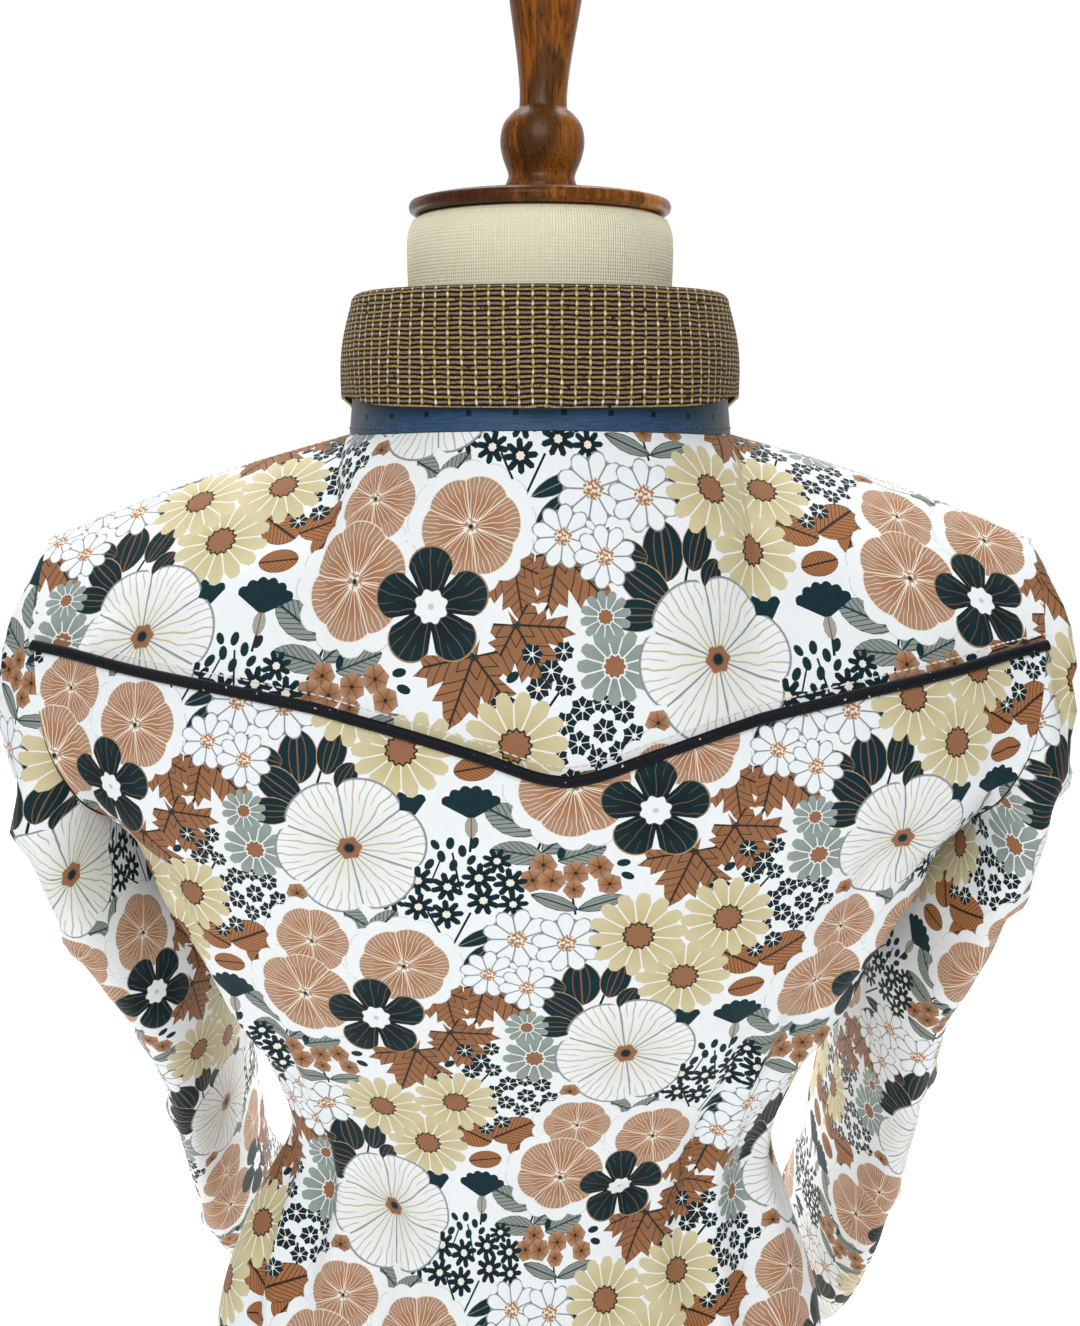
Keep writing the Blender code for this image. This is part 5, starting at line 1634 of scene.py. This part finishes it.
def stitch_tree():
    """Geometry Nodes that lay stitches along the edges of a mesh."""
    tree = bpy.data.node_groups.new("Stitch run", "GeometryNodeTree")
    sockets = tree.interface
    sockets.new_socket("Seams", in_out="INPUT", socket_type="NodeSocketGeometry")
    for label in ("Pitch", "Stitch length", "Thread width"):
        sockets.new_socket(label, in_out="INPUT", socket_type="NodeSocketFloat")
    sockets.new_socket("Thread", in_out="INPUT", socket_type="NodeSocketMaterial")
    sockets.new_socket("Stitches", in_out="OUTPUT", socket_type="NodeSocketGeometry")
    add, link = tree.nodes.new, tree.links.new
    given, result = add("NodeGroupInput"), add("NodeGroupOutput")
    curve, resample = add("GeometryNodeMeshToCurve"), add("GeometryNodeResampleCurve")
    resample.mode = "LENGTH"
    ball, scale = add("GeometryNodeMeshUVSphere"), add("GeometryNodeTransform")
    ball.inputs["Segments"].default_value = 6
    ball.inputs["Rings"].default_value = 4
    ball.inputs["Radius"].default_value = 0.5
    stretch = add("ShaderNodeCombineXYZ")
    tangent, turn = add("GeometryNodeInputTangent"), add("FunctionNodeAlignRotationToVector")
    turn.axis = "Z"
    instance, realize = add("GeometryNodeInstanceOnPoints"), add("GeometryNodeRealizeInstances")
    smooth, paint = add("GeometryNodeSetShadeSmooth"), add("GeometryNodeSetMaterial")
    link(given.outputs["Seams"], curve.inputs["Mesh"])
    link(curve.outputs["Curve"], resample.inputs["Curve"])
    link(given.outputs["Pitch"], resample.inputs["Length"])
    link(given.outputs["Thread width"], stretch.inputs[0])
    link(given.outputs["Thread width"], stretch.inputs[1])
    link(given.outputs["Stitch length"], stretch.inputs[2])
    link(ball.outputs["Mesh"], scale.inputs["Geometry"])
    link(stretch.outputs[0], scale.inputs["Scale"])
    link(tangent.outputs[0], turn.inputs["Vector"])
    link(resample.outputs["Curve"], instance.inputs["Points"])
    link(scale.outputs["Geometry"], instance.inputs["Instance"])
    link(turn.outputs["Rotation"], instance.inputs["Rotation"])
    link(instance.outputs["Instances"], realize.inputs["Geometry"])
    link(realize.outputs["Geometry"], smooth.inputs["Geometry"])
    link(smooth.outputs["Geometry"], paint.inputs["Geometry"])
    link(given.outputs["Thread"], paint.inputs["Material"])
    link(paint.outputs["Geometry"], result.inputs[0])
    return tree


def snap_tree():
    """Geometry Nodes that set one snap on each point, facing along the point's direction."""
    tree = bpy.data.node_groups.new("Snap row", "GeometryNodeTree")
    sockets = tree.interface
    sockets.new_socket("Places", in_out="INPUT", socket_type="NodeSocketGeometry")
    sockets.new_socket("Snap", in_out="INPUT", socket_type="NodeSocketObject")
    sockets.new_socket("Finish", in_out="INPUT", socket_type="NodeSocketMaterial")
    sockets.new_socket("Snaps", in_out="OUTPUT", socket_type="NodeSocketGeometry")
    add, link = tree.nodes.new, tree.links.new
    given, result = add("NodeGroupInput"), add("NodeGroupOutput")
    source, facing = add("GeometryNodeObjectInfo"), add("GeometryNodeInputNamedAttribute")
    facing.data_type = "FLOAT_VECTOR"
    facing.inputs["Name"].default_value = "facing"
    turn, instance = add("FunctionNodeAlignRotationToVector"), add("GeometryNodeInstanceOnPoints")
    turn.axis = "Z"
    realize, paint = add("GeometryNodeRealizeInstances"), add("GeometryNodeSetMaterial")
    link(given.outputs["Snap"], source.inputs["Object"])
    link(facing.outputs["Attribute"], turn.inputs["Vector"])
    link(given.outputs["Places"], instance.inputs["Points"])
    link(source.outputs["Geometry"], instance.inputs["Instance"])
    link(turn.outputs["Rotation"], instance.inputs["Rotation"])
    link(instance.outputs["Instances"], realize.inputs["Geometry"])
    link(realize.outputs["Geometry"], paint.inputs["Geometry"])
    link(given.outputs["Finish"], paint.inputs["Material"])
    link(paint.outputs["Geometry"], result.inputs[0])
    return tree


def run_tree(name, base, tree, values):
    """Applies a tree to a base object and gives the result as a plain piece."""
    modifier = base.modifiers.new("Nodes", "NODES")
    for item in tree.interface.items_tree:
        if item.in_out == "INPUT" and item.name in values:
            values[item.identifier] = values.pop(item.name)
    modifier.node_group = tree
    for identifier, value in values.items():
        modifier[identifier] = value
    base.update_tag()
    bpy.context.view_layer.update()
    result = base.evaluated_get(bpy.context.evaluated_depsgraph_get())
    mesh = bpy.data.meshes.new_from_object(result)
    base.modifiers.remove(modifier)
    bpy.data.objects.remove(base)
    if not len(mesh.polygons):
        raise RuntimeError(f"{name}: its tree made nothing")
    mesh.name = name
    return add_object(name, mesh)


def lay_stitches(name, lines, thread, slot, sizes, bold=1.0):
    """Stitches along lines of points, as one piece."""
    points, edges = [], []
    for line in lines:
        edges += [(len(points) + step, len(points) + step + 1) for step in range(len(line) - 1)]
        points += [tuple(point) for point in line]
    mesh = bpy.data.meshes.new(name + "_line")
    mesh.from_pydata(points, edges, [])
    base = add_object(name + "_line", mesh)
    thing = run_tree(name, base, bpy.data.node_groups["Stitch run"], {
        "Pitch": sizes.stitch_pitch,
        "Stitch length": sizes.stitch_length,
        "Thread width": sizes.thread_width * bold,
        "Thread": thread,
    })
    return finish_piece(thing, slot)


def lay_snaps(name, centres, directions, nodes):
    """Snaps at these places, as one piece."""
    mesh = bpy.data.meshes.new(name + "_places")
    mesh.from_pydata([tuple(centre) for centre in centres], [], [])
    facing = mesh.attributes.new("facing", "FLOAT_VECTOR", "POINT")
    facing.data.foreach_set("vector", np.asarray(directions, np.float32).ravel())
    base = add_object(name + "_places", mesh)
    radius = SNAP_RADIUS * np.array(
        (0, 0.90, 0.97, 1.0, 0.985, 0.93, 0.86, 0.815, 0.79, 0.77, 0.6, 0.4, 0.2, 0)
    )
    z = np.array((0, 0, 0.10, 0.30, 0.55, 0.78, 0.86, 0.78, 0.66, 0.72, 0.88, 0.96, 1.0, 1.0)) * SNAP_HEIGHT
    finish = bpy.data.materials["pearl_snap"]
    pattern = turned_object(name + "_pattern", radius, z, 28, finish, uv_width="snap")
    for layer in pattern.data.uv_layers:
        for loop, corner in zip(layer.data, pattern.data.loops):
            point = pattern.data.vertices[corner.vertex_index].co
            loop.uv = (math.hypot(point.x, point.y) / SNAP_RADIUS, 0)
    thing = run_tree(name, base, bpy.data.node_groups["Snap row"], {"Snap": pattern, "Finish": finish})
    bpy.data.objects.remove(pattern)
    return finish_piece(thing, "pearl_snap", *nodes)


def above_cloth(cloth, rows, columns, lift):
    """Points just off a piece of cloth, at these grid rows and columns."""
    rows, columns = np.broadcast_arrays(rows, columns)
    stacked = np.concatenate((cloth.face, cloth.normal), axis=-1)
    value = cell_values(stacked, columns.astype(float), rows.astype(float))[0]
    return value[:, :3] + value[:, 3:] * lift


def line_at(cloth, distance, side, lift=0.00015):
    """A line over a cloth at a distance in from its low, high, left or right edge."""
    rows, columns = cloth.across.shape
    if side in ("low", "high"):
        edge = 0 if side == "low" else rows - 1
        run = np.abs(cloth.along - cloth.along[edge])
        order = run if side == "low" else run[::-1]
        place = np.array(
            [np.interp(distance, order[:, column], np.arange(rows)) for column in range(columns)]
        )
        place = place if side == "low" else rows - 1 - place
        return above_cloth(cloth, place, np.arange(columns), lift)
    edge = 0 if side == "left" else columns - 1
    run = np.abs(cloth.across - cloth.across[:, edge:edge + 1])
    order = run if side == "left" else run[:, ::-1]
    place = np.array([np.interp(distance, order[row], np.arange(columns)) for row in range(rows)])
    place = place if side == "left" else columns - 1 - place
    return above_cloth(cloth, np.arange(rows), place, lift)


class ShirtSizes(bpy.types.PropertyGroup):
    """Sizes that a user would change."""

    stitch_pitch: bpy.props.FloatProperty(
        name="Stitch pitch",
        description="From one topstitch to the next",
        default=0.0031, min=0.001, unit="LENGTH",
    )
    stitch_length: bpy.props.FloatProperty(
        name="Stitch length",
        description="Length of one topstitch",
        default=0.0026, min=0.0005, unit="LENGTH",
    )
    thread_width: bpy.props.FloatProperty(
        name="Thread width",
        description="Thickness of the topstitching thread",
        default=0.0007, min=0.0001, unit="LENGTH",
    )
    mesh_step: bpy.props.IntProperty(
        name="Mesh step", description="Grid steps between the cloth's inner points", default=2, min=1, max=8
    )


def hue(name, description, code):
    return bpy.props.FloatVectorProperty(
        name=name, description=description, default=tint(code), size=3, min=0, max=1, subtype="COLOR"
    )


class ShirtHues(bpy.types.PropertyGroup):
    """Colours of the cloth, the print and the wood."""

    ground: hue("Print ground", "White ground of the print", "eef2f4")
    outline: hue("Outline", "Fine grey line round the white flowers", "868e93")
    teal: hue("Teal", "Leaves, carnations and hibiscus", "0f2c33")
    deep_teal: hue("Deep teal", "Shaded teal of the flowers", "0a1f25")
    tan: hue("Tan", "Peony petals", "b08a70")
    brown: hue("Brown", "Flower middles", "96684a")
    cream: hue("Cream", "Cream daisies", "d2c8a2")
    grey: hue("Grey", "Grey daisies", "94a09a")
    silk: hue("Collar silk", "Navy silk of the collar stand", "1f3f60")
    tweed: hue("Collar tweed", "Brown ground of the collar fall", "1d110a")
    mauve: hue("Tweed stripe", "Mauve stripe of the collar fall", "8f786b")
    cord: hue("Piping", "Cord of the yoke seam", "080d18")
    linen: hue("Linen", "Knit of the dress form", "fcf7da")
    wood: hue("Wood", "Stained wood", "673808")


class StageSettings(bpy.types.PropertyGroup):
    """The floor, the lights and the camera."""

    floor: hue("Floor", "Plain pale floor", "fbfbfb")
    key_power: bpy.props.FloatProperty(
        name="Key light",
        description="Power of the large light above the camera",
        default=27.5, min=0, unit="POWER",
    )
    fill_power: bpy.props.FloatProperty(
        name="Side lights", description="Power of each side light", default=1.0, min=0, unit="POWER"
    )
    floor_power: bpy.props.FloatProperty(
        name="Floor light",
        description="Power of the lamp over the near floor",
        default=95.0, min=0, unit="POWER",
    )
    sky: bpy.props.FloatProperty(
        name="Sky",
        description="Strength of the surround beside and behind the camera",
        default=0.33, min=0,
    )
    camera_tilt: bpy.props.FloatProperty(
        name="Camera tilt",
        description="How far the camera looks down",
        default=math.radians(11.5), subtype="ANGLE",
    )
    lens: bpy.props.FloatProperty(
        name="Lens", description="Focal length on a 36 mm long side", default=37.574, unit="CAMERA"
    )


class OBJECT_OT_shirt_inks(bpy.types.Operator):
    """Make every material of the shirt, its form and its stand"""

    bl_idname = "object.shirt_inks"
    bl_label = "Materials"

    def execute(self, context):
        hues = context.scene.shirt_hues
        make_prints(hues)
        for make in (make_tweed, make_silk, make_cord_finish, make_linen, make_wood):
            make(hues)
        make_thread("white_thread", 0.55, "f4f3ee", "cfcdc4")
        make_thread("navy_thread", 0.5, "3b5b7a", "1f3048")
        make_pearl()
        stitch_tree()
        snap_tree()
        return {"FINISHED"}


class OBJECT_OT_shirt_back(bpy.types.Operator):
    """Make the back body, the pointed yoke, the piping between them and its topstitching"""

    bl_idname = "object.shirt_back"
    bl_label = "Back, yoke and piping"

    def execute(self, context):
        sizes = context.scene.shirt_sizes
        columns, body, yoke = back_cloths()
        step = sizes.mesh_step
        printed_piece("back_body_cloth", body, BACK_PRINT, "back_body", step)
        printed_piece(
            "back_yoke_cloth", yoke, YOKE_PRINT, "back_yoke", step, YOKE_SCALE
        )
        fine = spread(-1, 1, 260)
        rises = yoke_rises(fine)
        normal = shirt_normals(fine, rises)
        centre = shirt_points(fine, rises) + normal * (PIPING_HEIGHT / 2 + GAP)
        along = unit(np.gradient(centre, axis=0))
        across = unit(np.cross(along, normal))
        turn = spread(0, 2 * math.pi, 16)[:-1]
        rings = (
            centre[:, None]
            + across[:, None] * (PIPING_WIDTH / 2 * np.cos(turn))[:, None]
            + normal[:, None] * (PIPING_HEIGHT / 2 * np.sin(turn))[:, None]
        )
        run = np.concatenate(([0], np.cumsum(np.linalg.norm(np.diff(centre, axis=0), axis=1))))
        piping = tube_object("yoke_piping_cord", rings, run, bpy.data.materials["cord_twist"])
        finish_piece(piping, "navy_cord", "yoke_piping")
        white = bpy.data.materials["white_thread"]
        lay_stitches("yoke_topstitch", [line_at(yoke, 0.0048, "low")], white, "printed_cotton", sizes)
        width = len(columns) // 2
        seam = line_at(yoke, 0.0045, "high")
        lines = [seam[: width - NECK_COLUMNS - 1], seam[width + NECK_COLUMNS + 2:]]
        lay_stitches("shoulder_topstitch", lines, white, "printed_cotton", sizes)
        hems = [line_at(body, 0.009, "low")]
        lay_stitches("back_hem_stitch", hems, white, "printed_cotton", sizes, 0.7)
        return {"FINISHED"}


class OBJECT_OT_shirt_fronts(bpy.types.Operator):
    """Make both fronts, the placket, its stitching and its snaps"""

    bl_idname = "object.shirt_fronts"
    bl_label = "Fronts and placket"

    def execute(self, context):
        sizes = context.scene.shirt_sizes
        step = sizes.mesh_step
        left, right, band = front_cloth(-1), front_cloth(1), placket_cloth()
        printed_piece("left_front_cloth", left, FRONT_PRINT, "left_front", step)
        printed_piece("right_front_cloth", right, FRONT_PRINT, "right_front", step)
        printed_piece(
            "placket_cloth", band, FRONT_PRINT, "front_placket", step
        )
        white = bpy.data.materials["white_thread"]
        edges = [line_at(band, 0.0035, side) for side in ("left", "right")]
        hems = [line_at(cloth, 0.009, "low") for cloth in (left, right)]
        lay_stitches("placket_stitch", edges, white, "printed_cotton", sizes, 0.8)
        lay_stitches("front_hem_stitch", hems, white, "printed_cotton", sizes, 0.7)
        rises = spread(SNAP_TOP_RISE, SNAP_LOW_RISE, SNAP_COUNT - 1)
        normal = shirt_normals(np.full_like(rises, 2.0), rises)
        centre = shirt_points(2, rises) + normal * (LAP_LIFT + GAP * 2)
        nodes = [f"snap_{number}" for number in range(1, SNAP_COUNT + 1)]
        lay_snaps("placket_snaps", centre, normal, nodes)
        return {"FINISHED"}


class OBJECT_OT_shirt_sleeves(bpy.types.Operator):
    """Make both sleeves and their cuffs with their stitching and snaps"""

    bl_idname = "object.shirt_sleeves"
    bl_label = "Sleeves and cuffs"

    def execute(self, context):
        sizes = context.scene.shirt_sizes
        step = sizes.mesh_step
        white = bpy.data.materials["white_thread"]
        for side, rows, label in ((-1, SLEEVE_LEFT, "left"), (1, SLEEVE_RIGHT, "right")):
            sleeve = sleeve_cloth(rows, side)
            shift = SLEEVE_PRINT[side]
            printed_piece(
                f"sleeve_{label}_cloth", sleeve, shift, f"sleeve_{label}",
                step,
            )
            cuff = cuff_cloth(rows, side)
            printed_piece(
                f"cuff_{label}_cloth", cuff, CUFF_PRINT, f"cuff_{label}", step
            )
            edges = [line_at(cuff, 0.004, "low"), line_at(cuff, 0.004, "high")]
            lay_stitches(f"cuff_{label}_stitch", edges, white, "printed_cotton", sizes, 0.8)
            share = np.full(2, 1 + CUFF_OVERLAP / 2)
            drops = np.array(CUFF_SNAP_DROPS)
            centre = cuff_points(rows, share, drops)
            out = unit(cuff_points(rows, share, drops, 0.01) - centre)
            centre = centre + out * GAP * 2
            nodes = [f"cuff_{label}_snap_1", f"cuff_{label}_snap_2"]
            lay_snaps(f"cuff_{label}_snaps", centre * (side, 1, 1), out * (side, 1, 1), nodes)
        return {"FINISHED"}


class OBJECT_OT_shirt_collar(bpy.types.Operator):
    """Make the silk stand with its stitching and snap, and the tweed fall"""

    bl_idname = "object.shirt_collar"
    bl_label = "Collar"

    def execute(self, context):
        sizes = context.scene.shirt_sizes
        shares = spread(-1 - COLLAR_OVERLAP, 1 + COLLAR_OVERLAP, 360)
        stand = band_cloth(stand_points, shares, spread(0, 1, 20))
        silk = bpy.data.materials["silk_weave"]
        plain_piece("collar_stand_silk", stand, silk, "navy_silk", "collar_stand")
        shares = spread(-LEAF_END, LEAF_END, 340)
        falls = np.concatenate((spread(-1, 0, 18)[:-1], spread(0, 1, 26)))
        fall = band_cloth(leaf_points, shares, falls)
        tweed = bpy.data.materials["tweed"]
        plain_piece(
            "collar_fall_tweed", fall, tweed, "brown_tweed", "collar_fall",
            LEAF_WALL
        )
        thread = bpy.data.materials["navy_thread"]
        lay_stitches("collar_stand_stitch", [line_at(stand, 0.0022, "low")], thread, "navy_silk", sizes, 0.8)
        place = np.array((1.0,))
        height = np.array((COLLAR_SNAP_HEIGHT,))
        centre = stand_points(place, height)
        across = stand_points(place - COLLAR_OVERLAP / 2, height) - centre
        up = stand_points(place, place) - centre
        out = unit(np.cross(up, across))
        lay_snaps("collar_snap", centre + out * GAP * 2, out, ["snap_collar"])
        return {"FINISHED"}


class OBJECT_OT_shirt_form(bpy.types.Operator):
    """Make the linen form, its wooden cap and finial, the post and the base"""

    bl_idname = "object.shirt_form"
    bl_label = "Dress form and stand"

    def execute(self, context):
        low, high = spread(FORM_BOTTOM_Z, FORM_NECK_Z, 90)[:-1], spread(FORM_NECK_Z, FORM_TOP_Z, 60)
        levels = np.concatenate((low, high))
        quarter = spread(0, 4, FORM_SIDES)[:-1]
        rings = ring_points(FORM, quarter[None, :], levels[:, None])
        linen = bpy.data.materials["linen_knit"]
        form = tube_object("form_torso_linen", rings, levels, linen, 2 * math.pi * NECK_RADIUS)
        finish_piece(form, "linen", "form_torso", "form_neck")
        wood = bpy.data.materials["wood_grain"]
        radius, z = smooth_profile(CAP_PROFILE, 60)
        cap = turned_object("neck_cap_wood", radius, z, 96, wood, (0, 0, FORM_TOP_Z + GAP))
        radius, z = smooth_profile(FINIAL_PROFILE, 110)
        finial = turned_object("finial_wood", radius, z, 72, wood, (0.0005, 0, FINIAL_FOOT_Z), FINIAL_LEAN)
        low, high = BASE_HEIGHT + GAP, FORM_BOTTOM_Z - GAP
        radius = np.array((0, 0.97, 1, 1, 0.97, 0)) * POST_RADIUS
        z = np.array((low, low, low + 0.0008, high - 0.0008, high, high))
        post = turned_object("post_wood", radius, z, 64, wood)
        radius, z = smooth_profile(BASE_PROFILE, 90)
        base = turned_object("base_wood", radius, np.clip(z, 0, None), 128, wood)
        pieces = ((cap, "neck_cap"), (finial, "finial"), (post, "post"), (base, "base"))
        for thing, node in pieces:
            outward_faces(thing)
            finish_piece(thing, "stained_wood", node)
        return {"FINISHED"}


class OBJECT_OT_shirt_stage(bpy.types.Operator):
    """Make the floor, the soft lights and the camera"""

    bl_idname = "object.shirt_stage"
    bl_label = "Stage"

    def execute(self, context):
        stage = context.scene.shirt_stage
        mesh = bpy.data.meshes.new("floor")
        side = FLOOR_SIDE / 2
        corners = [(-side, -side, 0), (side, -side, 0), (side, side, 0), (-side, side, 0)]
        mesh.from_pydata(corners, [], [(0, 1, 2, 3)])
        floor = add_object("floor", mesh)
        pale = Mixer("floor", 0.9)
        mesh.materials.append(pale.finish(stage.floor[:]))
        lights = (
            ("key", stage.key_power, (-0.25, -1.9, 1.75), (0, 0, 0.62), 1.1, 180),
            ("left", stage.fill_power, (-1.9, -0.5, 1.3), (0, 0, 0.6), 1.2, 180),
            ("right", stage.fill_power, (1.9, -0.8, 1.3), (0, 0, 0.6), 1.2, 180),
            ("front", stage.fill_power, (0.4, 2.2, 1.5), (0, 0, 0.6), 1.4, 180),
            ("floor", stage.floor_power, (0, 1.7, 2.6), (0, 1.7, 0), 2.0, 90),
        )
        for name, power, place, target, width, beam in lights:
            lamp = bpy.data.lights.new(name, "AREA")
            lamp.energy, lamp.size, lamp.spread = power, width, math.radians(beam)
            thing = add_object(name, lamp)
            thing.location = place
            toward = Vector(target) - Vector(place)
            thing.rotation_euler = toward.to_track_quat("-Z", "Y").to_euler()
        self.make_surround(context, stage)
        context.scene.view_settings.view_transform = "Standard"
        lens = bpy.data.cameras.new("camera")
        lens.lens, lens.sensor_width = stage.lens, 36
        lens.clip_start = 0.01
        lens.dof.use_dof = False
        camera = add_object("camera", lens)
        camera.location = (0, -0.56, 0.84)
        camera.rotation_euler = Euler((math.pi / 2 - stage.camera_tilt, 0, 0))
        context.scene.camera = camera
        return {"FINISHED"}

    def make_surround(self, context, stage):
        """A soft surround that is white behind the front."""
        world = bpy.data.worlds.new("surround")
        world.use_nodes = True
        nodes, links = world.node_tree.nodes, world.node_tree.links
        apart = nodes.new("ShaderNodeSeparateXYZ")
        links.new(nodes.new("ShaderNodeTexCoord").outputs["Generated"], apart.inputs[0])
        fade = nodes.new("ShaderNodeMapRange")
        fade.inputs["From Min"].default_value, fade.inputs["From Max"].default_value = 0.45, 0.65
        fade.inputs["To Min"].default_value, fade.inputs["To Max"].default_value = stage.sky, 1.02
        links.new(apart.outputs["Y"], fade.inputs["Value"])
        background = nodes["Background"]
        background.inputs["Color"].default_value = (1, 1, 1, 1)
        links.new(fade.outputs["Result"], background.inputs["Strength"])
        context.scene.world = world


OPERATORS = (
    OBJECT_OT_shirt_inks,
    OBJECT_OT_shirt_form,
    OBJECT_OT_shirt_back,
    OBJECT_OT_shirt_fronts,
    OBJECT_OT_shirt_sleeves,
    OBJECT_OT_shirt_collar,
    OBJECT_OT_shirt_stage,
)


class VIEW3D_PT_shirt(bpy.types.Panel):
    """The shirt's steps and settings"""

    bl_label = "Western snap shirt"
    bl_idname = "VIEW3D_PT_shirt"
    bl_space_type = "VIEW_3D"
    bl_region_type = "UI"
    bl_category = "Shirt"

    def draw(self, context):
        for operator in OPERATORS:
            self.layout.operator(operator.bl_idname)
        for group in (context.scene.shirt_sizes, context.scene.shirt_hues, context.scene.shirt_stage):
            for name in group.bl_rna.properties.keys():
                if name not in ("rna_type", "name"):
                    self.layout.prop(group, name)


CLASSES = (ShirtSizes, ShirtHues, StageSettings, *OPERATORS, VIEW3D_PT_shirt)
GROUPS = {"shirt_sizes": ShirtSizes, "shirt_hues": ShirtHues, "shirt_stage": StageSettings}


def register():
    for made in CLASSES:
        bpy.utils.register_class(made)
    for name, group in GROUPS.items():
        setattr(bpy.types.Scene, name, bpy.props.PointerProperty(type=group))


def unregister():
    for name in GROUPS:
        delattr(bpy.types.Scene, name)
    for made in reversed(CLASSES):
        bpy.utils.unregister_class(made)


def main():
    register()
    for operator in OPERATORS:
        section, name = operator.bl_idname.split(".")
        getattr(getattr(bpy.ops, section), name)()


if __name__ == "__main__":
    main()
